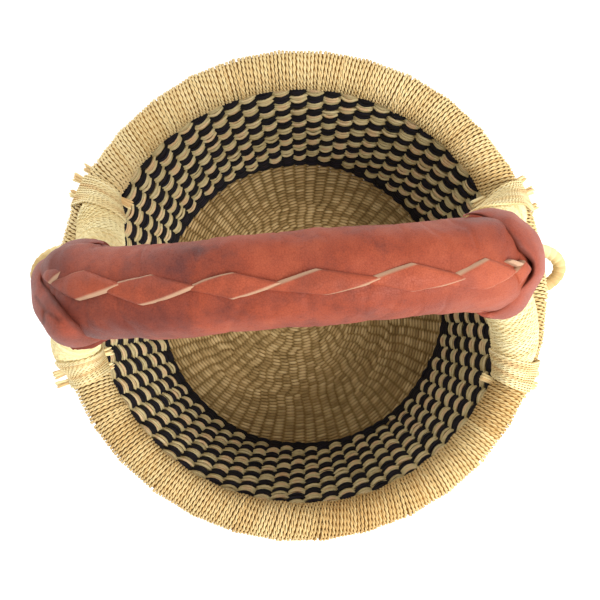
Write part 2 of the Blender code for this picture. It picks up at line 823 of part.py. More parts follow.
def wall_gap(foot, stretch, number):
    """The gap between stakes through which one stretch of a lashing passes, as a cutter."""
    near = MOUTH_RADIUS - OVERRUN
    far = MOUTH_RADIUS + WALL_THICKNESS + OVERRUN
    turns = [
        (math.atan2(point.y, point.x) - foot.toe_angle + math.pi) % math.tau - math.pi
        for point in stretch
    ]
    margin = (STRAND_RADIUS + CLEARANCE) / near
    low = min(point.z for point in stretch) - STRAND_RADIUS - CLEARANCE
    corners = []
    for angle in (foot.toe_angle + min(turns) - margin, foot.toe_angle + max(turns) + margin):
        corners.append([
            on_rim(angle, near, low),
            on_rim(angle, far, low),
            on_rim(angle, far, RIM_HEIGHT),
            on_rim(angle, near, RIM_HEIGHT),
        ])
    bm = bmesh.new()
    loft(bm, corners)
    return cutter("gap_" + foot.name + "_" + str(number), bm)


def lashing_end(bm, centre, direction):
    """A short blunt strand end with a rounded tip, rooted just under the rim's surface."""
    shape_shares = ((0.0, 0.90), (0.35, 1.0), (0.75, 0.95), (1.0, 0.55))
    start = centre + direction * (RIM_BINDING_RADIUS - END_RADIUS)
    length = END_RADIUS + END_LENGTH
    path = [start + direction * length * along for along, wide in shape_shares]
    sweep(bm, path, UPWARDS, lambda index: circle(END_RADIUS * shape_shares[index][1], END_SIDES))


def crossings(foot, sign, height):
    """Rim angles, from the toe, at which the lashing passes a height on one side."""
    route = lashing_route(foot)
    found = []
    for before, after in zip(route, route[1:]):
        if (before.z - height) * (after.z - height) > 0:
            continue
        spot = before.lerp(after, (height - before.z) / (after.z - before.z))
        if (math.hypot(spot.x, spot.y) - RIM_RADIUS) * sign > 0:
            around = math.atan2(spot.y, spot.x) - foot.toe_angle
            found.append((around + math.pi) % math.tau - math.pi)
    return found


def foot_ends(foot, outer, rim_tool):
    """The trimmed ends of one foot's lashing, standing out between its strands."""
    sign = 1 if outer else -1
    tilt = OUTER_END_TILT if outer else INNER_END_TILT
    height = RIM_HEIGHT + (RIM_BINDING_RADIUS + END_LENGTH / 2) * math.sin(tilt)
    strands = crossings(foot, sign, height)
    between = [(first + second) / 2 for first, second in zip(strands, strands[1:])]
    between.append(strands[0] - (between[0] - strands[0]))
    count = foot.outer_ends if outer else foot.inner_ends
    for index in range(count):
        angle = foot.toe_angle + between[index]
        direction = on_rim(angle, sign, 0.0) * math.cos(tilt) + UPWARDS * math.sin(tilt)
        bm = bmesh.new()
        lashing_end(bm, on_rim(angle, RIM_RADIUS, RIM_HEIGHT), direction)
        name = "lashing_end_" + foot.name + ("_outer_" if outer else "_inner_") + str(index + 1)
        cut(place(name, mesh_from(name, bm), STRAW), rim_tool)


def loop_pivot(loop):
    """The middle of the line through a loop's two knots, which both lie against the wall."""
    height = RIM_HEIGHT - RIM_BINDING_RADIUS - RIM_CROWN - CLEARANCE - LOOP_RADIUS
    knot_reach = wall_inner(height) + WALL_THICKNESS + CLEARANCE + LOOP_RADIUS
    half = loop.width / 2 - LOOP_RADIUS
    return on_rim(loop.angle, math.sqrt(knot_reach ** 2 - half ** 2), height)


def loop_path(loop, trim):
    """A loop's centre line: out from one knot, round, and back to the other."""
    pivot = loop_pivot(loop)
    outwards = on_rim(loop.angle, 1.0, 0.0)
    aside = UPWARDS.cross(outwards)
    half = loop.width / 2 - LOOP_RADIUS
    run = RIM_RADIUS + loop.reach - LOOP_RADIUS - math.hypot(pivot.x, pivot.y)
    path = []
    for step in range(LOOP_RINGS + 1):
        angle = trim + (math.pi - 2 * trim) * step / LOOP_RINGS
        out = max(math.sin(angle), 0.0) ** LOOP_SQUARENESS
        path.append(pivot + aside * half * math.cos(angle) + outwards * run * out)
    return path


def loop_bundle(loop):
    """The grass core of a loop, ending in two round knots on the hinge line."""
    path = loop_path(loop, 0.0)
    pivot = loop_pivot(loop)
    outwards = on_rim(loop.angle, 1.0, 0.0)
    half = loop.width / 2 - LOOP_RADIUS
    aside = UPWARDS.cross(outwards)
    name = "hanging_loop_bundle_" + loop.name
    bm = bmesh.new()
    sweep(bm, path, UPWARDS, lambda index: circle(LOOP_BUNDLE_RADIUS, LOOP_SIDES))
    piece = place(name, mesh_from(name, bm), GRASS)
    for sign in (-1, 1):
        bm = bmesh.new()
        bmesh.ops.create_icosphere(bm, subdivisions=2, radius=LOOP_RADIUS)
        bmesh.ops.translate(bm, vec=pivot + aside * half * sign, verts=bm.verts)
        cut(piece, cutter(name + "_knot_" + str(sign + 1), bm), "UNION")
    return piece


def loop_binding(loop):
    """The straw wound round a loop between its knots."""
    half = loop.width / 2 - LOOP_RADIUS
    trim = LOOP_TRIM / half
    bm = bmesh.new()
    tube_wall(bm, loop_path(loop, trim), UPWARDS, LOOP_RADIUS, LOOP_BINDING_BORE, LOOP_SIDES)
    name = "hanging_loop_binding_" + loop.name
    return place(name, mesh_from(name, bm), STRAW)


def build():
    """Make every piece."""
    clear_scene()
    base_mat()
    base_border()
    wall = wall_weave()
    rim_binding()
    rim_bundle()
    rim_tool = rim_cutter()
    handle_bundle()
    grip_cover()
    grip_lacing()
    fork_cover(-1)
    fork_cover(1)
    for foot in FEET:
        leg_bundle(foot, rim_tool)
        leg_binding(foot, rim_tool)
        foot_lashing(foot)
        foot_ends(foot, True, rim_tool)
        foot_ends(foot, False, rim_tool)
        for number, stretch in enumerate(wall_passes(foot)):
            cut(wall, wall_gap(foot, stretch, number))
    for loop in LOOPS:
        loop_bundle(loop)
        loop_binding(loop)


build()
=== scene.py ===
"""Round bolga basket: twined straw, a bound rim, and a forked handle in laced leather.

The file follows the basket as it is put together, from the floor mat up to the handle.
Lengths are in metres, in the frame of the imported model.
"""

import json
import math

import bpy
import numpy as np
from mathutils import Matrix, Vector


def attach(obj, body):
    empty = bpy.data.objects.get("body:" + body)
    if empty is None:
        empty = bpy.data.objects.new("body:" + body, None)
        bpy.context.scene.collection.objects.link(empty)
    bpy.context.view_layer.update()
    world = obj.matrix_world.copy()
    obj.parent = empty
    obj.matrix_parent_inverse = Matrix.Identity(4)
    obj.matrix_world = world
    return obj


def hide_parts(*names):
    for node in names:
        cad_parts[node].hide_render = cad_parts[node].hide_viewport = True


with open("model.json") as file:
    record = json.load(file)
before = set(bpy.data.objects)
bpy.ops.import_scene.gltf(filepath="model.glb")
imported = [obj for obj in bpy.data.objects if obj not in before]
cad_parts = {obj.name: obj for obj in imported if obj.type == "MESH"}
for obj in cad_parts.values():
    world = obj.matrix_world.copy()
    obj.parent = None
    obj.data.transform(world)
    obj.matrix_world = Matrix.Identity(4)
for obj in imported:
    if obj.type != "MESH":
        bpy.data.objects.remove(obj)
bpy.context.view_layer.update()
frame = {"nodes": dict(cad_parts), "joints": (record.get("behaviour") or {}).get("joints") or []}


# Camera, floor and light.
# The basket stands on a plain white floor, seen from almost straight above, in soft studio light.
camera_place = np.array([0.0024, -0.0238, 0.5960])
FOCAL_PIXELS = 643.0
NADIR_PIXEL = (305.0, 330.0)
lens = bpy.data.cameras.new("camera")
lens.sensor_width = 36.0
lens.lens = 36.0 * FOCAL_PIXELS / 600.0
lens.shift_x = (300.0 - NADIR_PIXEL[0]) / 600.0
lens.shift_y = (NADIR_PIXEL[1] - 300.0) / 600.0
lens.clip_start = 0.01
camera = bpy.data.objects.new("camera", lens)
camera.location = camera_place
bpy.context.scene.collection.objects.link(camera)
bpy.context.scene.camera = camera

floor_mesh = bpy.data.meshes.new("floor")
floor_mesh.from_pydata([(-4, -4, -0.0004), (4, -4, -0.0004), (4, 4, -0.0004), (-4, 4, -0.0004)], [], [(0, 1, 2, 3)])
floor = bpy.data.objects.new("floor", floor_mesh)
bpy.context.scene.collection.objects.link(floor)
paper = bpy.data.materials.new("white_floor")
paper.use_nodes = True
paper.node_tree.nodes["Principled BSDF"].inputs["Base Color"].default_value = (0.96, 0.96, 0.96, 1.0)
paper.node_tree.nodes["Principled BSDF"].inputs["Roughness"].default_value = 0.9
paper.node_tree.nodes["Principled BSDF"].inputs["Emission Color"].default_value = (1.0, 1.0, 1.0, 1.0)
paper.node_tree.nodes["Principled BSDF"].inputs["Emission Strength"].default_value = 0.42
floor_mesh.materials.append(paper)

world = bpy.data.worlds.new("studio")
world.use_nodes = True
world.node_tree.nodes["Background"].inputs["Color"].default_value = (1.0, 1.0, 1.0, 1.0)
world.node_tree.nodes["Background"].inputs["Strength"].default_value = 0.71
bpy.context.scene.world = world
bpy.context.scene.view_settings.view_transform = "Standard"


def softbox(name, place, size, power):
    """An area light that faces the basket."""
    lamp = bpy.data.lights.new(name, "AREA")
    lamp.size = size
    lamp.energy = power
    light = bpy.data.objects.new(name, lamp)
    light.location = place
    aim = Vector((0.0, 0.0, 0.15)) - Vector(place)
    light.rotation_euler = aim.to_track_quat("-Z", "Y").to_euler()
    light.visible_camera = False
    bpy.context.scene.collection.objects.link(light)


softbox("key_softbox", (0.93, -0.65, 1.26), 0.8, 30.0)
softbox("back_softbox", (-0.5, 0.8, 1.5), 0.9, 4.0)
softbox("low_back_softbox", (-0.90, 1.05, 0.55), 0.8, 5.5)


# Floor mat.
# Two natural straw wefts twine in one spiral round ribs that fan out from the middle.
# Ribs are added as the mat grows, so they stay about a centimetre apart.
STAKES = 75
BASE_RADIUS = 0.1312
BASE_MIDDLE = 0.0030
BASE_ROW_PITCH = 0.0027
RIB_SPACING = 0.0080
RIB_GROWTH = 0.0140


def smooth(value):
    """A ramp from 0 to 1 that is flat at both ends."""
    value = np.clip(value, 0.0, 1.0)
    return value * value * (3.0 - 2.0 * value)


def unit(vectors):
    """Vectors scaled to length 1."""
    return vectors / np.maximum(np.linalg.norm(vectors, axis=-1, keepdims=True), 1e-12)


def frames_along(path, up):
    """Side and top directions of a path: side is tangent x up, and top is side x tangent."""
    tangent = unit(np.gradient(path, axis=-2))
    side = unit(np.cross(tangent, up))
    return side, np.cross(side, tangent)


def profile_ring(sides, half_width, half_thickness):
    """A closed oval profile: half_width x cos, half_thickness x sin, at equal angles."""
    turn = (np.arange(sides) + 0.5) * math.tau / sides
    return half_width * np.cos(turn), half_thickness * np.sin(turn)


def carried(path, side, top, across, above):
    """A profile carried along paths: path + side x across + top x above."""
    return (
        path[..., None, :]
        + side[..., None, :] * np.asarray(across)[..., None]
        + top[..., None, :] * np.asarray(above)[..., None]
    )


def strand_quads(strands, stations, sides, closed=False):
    """Quads between neighbouring rings of equal strands, with quads over the open ends."""
    base = np.arange(strands)[:, None, None] * stations * sides
    station = np.arange(stations if closed else stations - 1)[None, :, None]
    side = np.arange(sides)[None, None, :]
    ahead = (station + 1) % stations
    beside = (side + 1) % sides
    wall = np.stack(
        [
            base + station * sides + side,
            base + station * sides + beside,
            base + ahead * sides + beside,
            base + ahead * sides + side,
        ],
        axis=-1,
    ).reshape(-1, 4)
    if closed:
        return wall
    step = np.arange(sides // 2 - 1)
    lid = np.stack([step, step + 1, sides - 2 - step, sides - 1 - step], axis=-1)
    first = (np.arange(strands)[:, None, None] * stations * sides + lid[None, :, ::-1]).reshape(-1, 4)
    last = (np.arange(strands)[:, None, None] * stations * sides + (stations - 1) * sides + lid).reshape(-1, 4)
    return np.concatenate([wall, first, last])


def put(name, points, quads, traits=None):
    """Put points and quads into a new object, faces outwards, with named point attributes."""
    points = np.asarray(points, float).reshape(-1, 3)
    corner = points[quads]
    volume = np.einsum(
        "ij,ij->i", corner[:, 0], np.cross(corner[:, 1], corner[:, 2]) + np.cross(corner[:, 2], corner[:, 3])
    ).sum()
    if volume < 0:
        quads = quads[:, ::-1]
    mesh = bpy.data.meshes.new(name)
    mesh.vertices.add(len(points))
    mesh.vertices.foreach_set("co", points.ravel())
    mesh.loops.add(quads.size)
    mesh.polygons.add(len(quads))
    mesh.polygons.foreach_set("loop_start", np.arange(len(quads)) * 4)
    mesh.polygons.foreach_set("vertices", quads.ravel())
    mesh.update(calc_edges=True)
    mesh.shade_smooth()
    for trait, values in (traits or {}).items():
        values = np.asarray(values, float)
        if values.ndim == 1:
            mesh.attributes.new(trait, "FLOAT", "POINT").data.foreach_set("value", values)
        else:
            mesh.attributes.new(trait, "FLOAT_VECTOR", "POINT").data.foreach_set("vector", values.ravel())
    piece = bpy.data.objects.new(name, mesh)
    bpy.context.scene.collection.objects.link(piece)
    return piece


def straw_trait(points, tone):
    """For each point: length along its strand, place across it from -1 to 1, and its tone."""
    middle = points.mean(axis=-2)
    step = np.linalg.norm(np.diff(middle, axis=-2), axis=-1)
    along = np.concatenate([np.zeros(step.shape[:-1] + (1,)), np.cumsum(step, axis=-1)], axis=-1)
    sides = points.shape[-2]
    across = np.cos((np.arange(sides) + 0.5) * math.tau / sides)
    shape = points.shape[:-1]
    return np.stack(
        [
            np.broadcast_to(along[..., None], shape),
            np.broadcast_to(across, shape),
            np.broadcast_to(tone, shape),
        ],
        axis=-1,
    ).reshape(-1, 3)


class Wire:
    """A socket of a material's shader. The operators + - * / and ** add Math nodes."""

    def __init__(self, tree, socket):
        self.tree = tree
        self.socket = socket

    def node(self, kind, settings=None, sockets=None, output=0):
        """Add a node, set its settings and its ramp's stops, then fill or link its sockets."""
        made = self.tree.nodes.new(kind)
        for key, value in (settings or {}).items():
            if key == "stops":
                elements = made.color_ramp.elements
                elements[0].position, elements[0].color = value[0]
                elements[-1].position, elements[-1].color = value[-1]
                for position, colour in value[1:-1]:
                    elements.new(position).color = colour
            else:
                setattr(made, key, value)
        for key, value in (sockets or {}).items():
            if isinstance(value, Wire):
                self.tree.links.new(value.socket, made.inputs[key])
            else:
                made.inputs[key].default_value = value
        return Wire(self.tree, made.outputs[output])

    def maths(self, operation, first, second):
        """One Math node on two values."""
        return self.node("ShaderNodeMath", {"operation": operation}, {0: first, 1: second})

    def __add__(self, other):
        return self.maths("ADD", self, other)

    def __radd__(self, other):
        return self.maths("ADD", other, self)

    def __sub__(self, other):
        return self.maths("SUBTRACT", self, other)

    def __rsub__(self, other):
        return self.maths("SUBTRACT", other, self)

    def __mul__(self, other):
        return self.maths("MULTIPLY", self, other)

    def __rmul__(self, other):
        return self.maths("MULTIPLY", other, self)

    def __truediv__(self, other):
        return self.maths("DIVIDE", self, other)

    def __rtruediv__(self, other):
        return self.maths("DIVIDE", other, self)

    def __pow__(self, other):
        return self.maths("POWER", self, other)


def shader(name, roughness, specular=0.3):
    """A new material, as its first wire and its Principled shader."""
    made = bpy.data.materials.new(name)
    made.use_nodes = True
    surface = made.node_tree.nodes["Principled BSDF"]
    surface.inputs["Roughness"].default_value = roughness
    surface.inputs["Specular IOR Level"].default_value = specular
    return made, Wire(made.node_tree, None), surface


def dye(red, green, blue):
    """A screen colour from 0 to 255 as the linear colour that a shader wants."""
    return tuple((value / 255.0) ** 2.2 for value in (red, green, blue)) + (1.0,)


def straw_material(name, tones, blotch, streak_depth=0.35, roughness=0.72):
    """Straw: each strand has its tone, with fibre streaks along it and blotches over the piece."""
    made, wire, surface = shader(name, roughness)
    trait = wire.node("ShaderNodeAttribute", {"attribute_name": "straw"}, output=1)
    parts = wire.node("ShaderNodeSeparateXYZ", None, {0: trait})
    along = parts
    across = Wire(wire.tree, parts.socket.node.outputs[1])
    tone = Wire(wire.tree, parts.socket.node.outputs[2])
    place = wire.node("ShaderNodeTexCoord", output=3)
    blotches = wire.node("ShaderNodeTexNoise", None, {"Vector": place, "Scale": 42.0, "Detail": 3.0})
    fibre_place = wire.node("ShaderNodeCombineXYZ", None, {0: along * 55.0, 1: across * 2.2 + tone * 37.0, 2: tone * 91.0})
    fibres = wire.node("ShaderNodeTexNoise", None, {"Vector": fibre_place, "Scale": 1.0, "Detail": 4.0, "Roughness": 0.65})
    lean = tone * 0.62 + blotches * 0.38 + (fibres - 0.5) * streak_depth
    colour = wire.node("ShaderNodeValToRGB", {"stops": tones}, {0: lean})
    aged = wire.node(
        "ShaderNodeMix",
        {"data_type": "RGBA", "blend_type": "MULTIPLY"},
        {"Factor": (blotches - 0.42) * 1.1, 6: colour, 7: blotch},
        output=2,
    )
    wire.tree.links.new(aged.socket, surface.inputs["Base Color"])
    bump = wire.node("ShaderNodeBump", None, {"Strength": 0.35, "Distance": 0.0004, "Height": fibres})
    wire.tree.links.new(bump.socket, surface.inputs["Normal"])
    gloss = 0.62 + fibres * 0.25
    wire.tree.links.new(gloss.socket, surface.inputs["Roughness"])
    return made


chance = np.random.default_rng(75)
birth_order = np.argsort((np.arange(STAKES) * 29) % STAKES)
rib_birth = birth_order * RIB_SPACING / math.tau


def rib_shares(radius):
    """Each rib's share of the turn at a radius: it grows from 0 once the rib is born."""
    radius = np.asarray(radius, float)[..., None]
    return smooth((radius - rib_birth) / RIB_GROWTH + 0.5)


def rib_angles(radius):
    """Each rib's angle: the middle of its share, counted from the first rib."""
    share = rib_shares(radius)
    reach = np.cumsum(share, axis=-1) - share / 2.0
    return math.tau * (reach - reach[..., :1]) / share.sum(axis=-1, keepdims=True)


def mat_spiral():
    """The spiral of the mat as angle, radius and weaving count: one turn a row, from rib to rib."""
    angles = []
    radii = []
    counts = []
    woven = 0.0
    turn_radius = BASE_ROW_PITCH * 1.5
    turn = 0
    while turn_radius < BASE_RADIUS - 0.5 * BASE_ROW_PITCH:
        share = rib_shares(turn_radius)
        live = rib_angles(turn_radius)[share > 0.4]
        live = np.append(live, live[0] + math.tau)
        steps = np.arange(0.0, len(live) - 1, 0.25)
        angle = np.interp(steps, np.arange(len(live)), live)
        angles.append(angle + math.tau * turn)
        radii.append(turn_radius + BASE_ROW_PITCH * (angle - live[0]) / math.tau)
        counts.append(woven + steps)
        woven += len(live) - 1
        turn_radius += BASE_ROW_PITCH
        turn += 1
    return np.concatenate(angles), np.concatenate(radii), np.concatenate(counts)


mat_angle, mat_radius, mat_count = mat_spiral()
swing = np.array([1.0, -1.0])[:, None] * np.cos(math.pi * mat_count)
lift = 0.0020 * smooth((mat_radius - 0.122) / 0.009)
mat_slip = -0.00062 * np.array([1.0, -1.0])[:, None] * np.sin(math.pi * mat_count)
mat_path = np.stack(
    [
        (mat_radius + mat_slip) * np.cos(mat_angle),
        (mat_radius + mat_slip) * np.sin(mat_angle),
        BASE_MIDDLE + lift + 0.00150 * np.sign(swing) * np.abs(swing) ** 0.6,
    ],
    axis=-1,
)
mat_side, mat_top = frames_along(mat_path, np.array([0.0, 0.0, 1.0]))
across, above = profile_ring(6, 1.0, 0.00095)
mat_width = 0.00094 + 0.00046 * np.abs(swing) ** 0.7
mat_points = carried(mat_path, mat_side, mat_top, across * mat_width[..., None], above)
mat_random_tones = chance.random((2, int(mat_count[-1]) + 3))
mat_tone_and_shade = np.stack([np.interp(mat_count, np.arange(row.size), row) for row in mat_random_tones])
# Painted shade: each weft's tone is darkened towards the places where the two wefts cross between the ribs.
mat_tone_and_shade = (0.25 + 0.75 * mat_tone_and_shade) * smooth(0.30 + 1.0 * np.abs(swing))
mat_straw = straw_material(
    "mat_straw",
    [(0.02, dye(58, 42, 20)), (0.28, dye(132, 105, 62)), (0.55, dye(178, 148, 98)), (0.90, dye(220, 190, 138))],
    dye(196, 172, 124),
)
for strand, name in ((0, "mat_weft_first"), (1, "mat_weft_second")):
    mat = put(
        name,
        mat_points[strand],
        strand_quads(1, mat_points.shape[1], 6),
        {"straw": straw_trait(mat_points[strand : strand + 1], mat_tone_and_shade[strand : strand + 1, :, None])},
    )
    mat.data.materials.append(mat_straw)
    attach(mat, "basket")
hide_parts("base_mat")

rib_radius = rib_birth[:, None] + (BASE_RADIUS - rib_birth)[:, None] * np.linspace(0.0, 1.0, 16)
rib_turn = np.take_along_axis(rib_angles(rib_radius), np.arange(STAKES)[:, None, None], axis=-1)[..., 0]
rib_path = np.stack(
    [
        rib_radius * np.cos(rib_turn),
        rib_radius * np.sin(rib_turn),
        BASE_MIDDLE + 0.0016 * smooth((rib_radius - 0.122) / 0.010),
    ],
    axis=-1,
)
rib_side, rib_top = frames_along(rib_path, np.array([0.0, 0.0, 1.0]))
across, above = profile_ring(6, 0.0030, 0.0007)
rib_points = carried(rib_path, rib_side, rib_top, across, above)
ribs = put(
    "mat_ribs",
    rib_points,
    strand_quads(STAKES, 16, 6),
    {"straw": straw_trait(rib_points, 0.3 * chance.random(STAKES)[:, None, None])},
)
ribs.data.materials.append(mat_straw)
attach(ribs, "basket")


# Wall stakes, black border and checkered wall.
# The ribs turn up as stakes. Dyed black wefts twine three low rows, then one natural and one black
# weft, three flat straws each, twine up the wall; an odd stake count sets the checks off.
WALL_FOOT = 0.0063
WALL_TOP = 0.1390
FLOOR_RADIUS = 0.1274
MOUTH_RADIUS = 0.1472
WALL_HALF = 0.0025
CHECK_ROWS = 12
BORDER_TOP = 0.0146
JOIN_ANGLE = math.radians(307.0)
STEPS_PER_STAKE = 5


def wall_middle(height):
    """The wall's middle radius: a cone from floor to mouth that swells a little between."""
    share = np.clip((height - WALL_FOOT) / (WALL_TOP - WALL_FOOT), -0.05, 1.1)
    return FLOOR_RADIUS + (MOUTH_RADIUS - FLOOR_RADIUS) * share + 0.0012 * np.sin(math.pi * np.clip(share, 0, 1)) + WALL_HALF


def round_wall(angle, radius, height):
    """Points at angles round the axis, radii and heights."""
    angle, radius, height = np.broadcast_arrays(angle, radius, height)
    return np.stack([radius * np.cos(angle), radius * np.sin(angle), height], axis=-1)


def outwards_at(angle):
    """The level direction away from the axis."""
    return np.stack([np.cos(angle), np.sin(angle), np.zeros_like(angle)], axis=-1)


def weft(first_height, pitch, rows, straws, inside_first, swing_in, swing_up, straw_half, straw_thick, sides):
    """Straws that twine round the stakes: in and out as a cosine of the stake count, up and down as a sine.

    Each row is level and climbs to the next one over two stakes at the join.
    """
    count = np.arange(0, STAKES * rows * STEPS_PER_STAKE + 1) / STEPS_PER_STAKE
    angle = JOIN_ANGLE + math.tau * count / STAKES
    row = np.floor(count / STAKES)
    climb = smooth((count - row * STAKES - (STAKES - 2)) / 2.0)
    phase = math.pi * count + (0.0 if inside_first else math.pi)
    float_in = np.sign(np.cos(phase)) * np.abs(np.cos(phase)) ** 0.75
    squeeze = 0.52 + 0.48 * np.abs(np.cos(phase))
    lanes = np.arange(straws) - (straws - 1) / 2.0
    lane = lanes[:, None] * (pitch / straws) * squeeze
    shuffle = chance.normal(0.0, 1.0, (straws, int(count[-1]) // 2 + 2))
    shuffle = np.stack([np.interp(count / 2.0, np.arange(row_of.size), row_of) for row_of in shuffle])
    height = first_height + pitch * (row + climb) - swing_up * np.sin(phase) + lane + 0.00022 * shuffle
    crowd = 0.00045 * np.cos(lanes[:, None] * 2.2 + count * 0.7)
    radius = wall_middle(height) - swing_in * float_in + crowd + 0.00015 * shuffle
    path = round_wall(angle, radius, height)
    side, top = frames_along(path, np.array([0.0, 0.0, 1.0]))
    across, above = profile_ring(sides, straw_thick, straw_half)
    points = carried(path, side, top, across, above)
    tone = chance.random((straws, int(count[-1]) // 2 + 2))
    tone = np.stack([np.interp(count / 2.0, np.arange(row_of.size), row_of) for row_of in tone])
    # Painted shade: each straw's tone is darkened towards the places where the wefts cross between the stakes.
    tone = (0.22 + 0.78 * tone) * smooth(0.10 + 1.3 * np.abs(np.cos(phase)))
    return points, straw_trait(points, tone[..., None])


natural_straw = straw_material(
    "wall_natural_straw",
    [
        (0.03, dye(64, 46, 26)),
        (0.20, dye(142, 122, 80)),
        (0.38, dye(190, 174, 128)),
        (0.55, dye(206, 188, 142)),
        (0.72, dye(208, 172, 130)),
        (0.90, dye(224, 208, 164)),
    ],
    dye(222, 204, 166),
)
black_straw = straw_material(
    "dyed_black_straw",
    [(0.15, dye(8, 7, 9)), (0.50, dye(17, 14, 20)), (0.80, dye(30, 24, 36)), (0.97, dye(58, 50, 46))],
    dye(120, 120, 130),
    roughness=0.6,
)

check_pitch = (WALL_TOP - BORDER_TOP) / CHECK_ROWS
for name, straw, inside_first in (("wall_weft_natural", natural_straw, True), ("wall_weft_black", black_straw, False)):
    points, trait = weft(
        BORDER_TOP + check_pitch / 2.0, check_pitch, CHECK_ROWS, 3, inside_first, 0.00200, 0.0011, 0.00172, 0.00110, 6
    )
    wall_weft = put(name, points, strand_quads(3, points.shape[1], 6), {"straw": trait})
    wall_weft.data.materials.append(straw)
    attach(wall_weft, "basket")
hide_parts("wall_weave")

border_foot = 0.0042
border_pitch = (BORDER_TOP - border_foot) / 3.0
border_parts = [
    weft(border_foot + border_pitch / 2.0, border_pitch, 3, 1, first, 0.0015, 0.0006, 0.0021, 0.0013, 6)
    for first in (True, False)
]
border_points = np.concatenate([points for points, trait in border_parts])
border = put(
    "border_twining",
    border_points,
    strand_quads(2, border_points.shape[1], 6),
    {"straw": np.concatenate([trait for points, trait in border_parts])},
)
border.data.materials.append(black_straw)
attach(border, "basket")
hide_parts("base_border")

stake_angle = JOIN_ANGLE + math.tau * (np.arange(STAKES)[:, None] + 0.0) / STAKES
stake_height = np.linspace(0.0045, WALL_TOP + 0.002, 22)[None, :]
stake_path = round_wall(stake_angle, wall_middle(stake_height), stake_height)
stake_side = np.broadcast_to(outwards_at(stake_angle), stake_path.shape)
stake_top = np.cross(stake_side, np.array([0.0, 0.0, 1.0]))
# Painted shade: the stakes are wide enough to close into a sheet behind the weave, and their tone is dark, to stand for
# the shade between the wefts.
across, above = profile_ring(6, 0.0008, 0.0064)
stake_width = (wall_middle(stake_height) / (MOUTH_RADIUS + WALL_HALF))[..., None]
stake_points = carried(stake_path, stake_side, stake_top, across, above * stake_width)
stakes = put(
    "wall_stakes",
    stake_points,
    strand_quads(STAKES, 22, 6),
    {"straw": straw_trait(stake_points, 0.12 * chance.random(STAKES)[:, None, None])},
)
stakes.data.materials.append(natural_straw)
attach(stakes, "basket")


# Rim.
# The stakes bend over into a grass bundle, bound tightly with about four hundred turns of
# two-ply twisted straw. Each turn leans a little, and its ends go down between the stakes.
RIM_RADIUS = 0.1580
RIM_HEIGHT = 0.1460
RIM_REACH = 0.0125
RIM_TURNS = 400
RIM_CROWNS = 34
RIM_LEAN = 0.12
PLY_RADIUS = 0.00072
PLY_OFFSET = 0.00060
PLY_LAY = 0.0094
RIM_STATIONS = 46


def rim_swell(angle):
    """How far the binding stands out at a rim angle: the rim is a polygon with a crown at each corner."""
    place = (angle * RIM_CROWNS / math.tau) % 1.0
    return 0.0009 * np.abs(2.0 * place - 1.0) ** 2.5 - 0.0003 + 0.00025 * np.sin(7.0 * angle + 1.0)


def two_ply(path, side, top, phase, ply_radius, ply_offset, lay, sides=4):
    """Two plies twisted round a path: each circles it once a lay, half a turn apart.

    phase is the strand's starting twist. Points come back as (ply, ..., stations, sides, 3).
    """
    step = np.linalg.norm(np.diff(path, axis=-2), axis=-1)
    along = np.concatenate([np.zeros(step.shape[:-1] + (1,)), np.cumsum(step, axis=-1)], axis=-1)
    twist = math.tau * along / lay + phase
    plies = []
    for ply in (0.0, math.pi):
        line = path + ply_offset * (side * np.cos(twist + ply)[..., None] + top * np.sin(twist + ply)[..., None])
        tangent = unit(np.gradient(line, axis=-2))
        ply_side = unit(side - tangent * np.sum(side * tangent, axis=-1, keepdims=True))
        ply_top = np.cross(ply_side, tangent)
        across, above = profile_ring(sides, ply_radius, ply_radius)
        plies.append(carried(line, ply_side, ply_top, across, above))
    return np.stack(plies)


def rim_point(angle, round_angle, reach):
    """A point of the rim: out from its circle by reach, at an angle round its section."""
    radius = RIM_RADIUS + reach * np.cos(round_angle)
    height = RIM_HEIGHT + reach * np.sin(round_angle)
    return round_wall(angle, radius, height)


rim_straw = straw_material(
    "rim_straw",
    [(0.05, dye(166, 120, 64)), (0.30, dye(206, 172, 112)), (0.58, dye(230, 206, 150)), (0.92, dye(243, 226, 178))],
    dye(220, 180, 122),
    streak_depth=0.25,
)
lap = np.linspace(math.radians(238.0), math.radians(576.0), RIM_STATIONS)
half_turns = RIM_TURNS // 2
for half, name in ((0, "rim_wrap_back"), (1, "rim_wrap_front")):
    start = (half * half_turns + np.arange(half_turns))[:, None] * math.tau / RIM_TURNS
    jitter = chance.normal(0.0, 0.05, (half_turns, 1)) * math.tau / RIM_TURNS
    sway = RIM_LEAN + 0.08 * (((start * RIM_CROWNS / 2.0 / math.tau) % 1.0) - 0.5) + 0.10 * np.sin(3.0 * start)
    angle = start + jitter + sway * (RIM_REACH * (lap - math.radians(450.0)))[None, :] / RIM_RADIUS
    reach = RIM_REACH - 0.00055 + rim_swell(angle) + chance.normal(0.0, 0.00012, (half_turns, 1))
    rim_path = rim_point(angle, lap[None, :], reach)
    rim_out = np.stack(
        [
            np.cos(angle) * np.cos(lap)[None, :],
            np.sin(angle) * np.cos(lap)[None, :],
            np.broadcast_to(np.sin(lap)[None, :], angle.shape),
        ],
        axis=-1,
    )
    rim_tangent = unit(np.gradient(rim_path, axis=-2))
    rim_side = unit(np.cross(rim_tangent, rim_out))
    phase = 0.8 * np.arange(half_turns)[:, None] + chance.normal(0.0, 0.45, (half_turns, 1))
    rim_points = two_ply(rim_path, rim_side, rim_out, phase, PLY_RADIUS, PLY_OFFSET, PLY_LAY)
    bunch = np.repeat(chance.random(half_turns // 8), 8)
    shaded_side = 0.5 + 0.5 * np.cos(start[:, 0] - math.radians(300.0))
    tone = 0.32 + 0.36 * bunch[None, :] + 0.32 * chance.random((2, half_turns)) - 0.34 * shaded_side[None, :] ** 1.5
    rim_wrap = put(
        name,
        rim_points,
        strand_quads(2 * half_turns, RIM_STATIONS, 4),
        {"straw": straw_trait(rim_points, tone[..., None, None])},
    )
    rim_wrap.data.materials.append(rim_straw)
    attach(rim_wrap, "basket")
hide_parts("rim_binding")

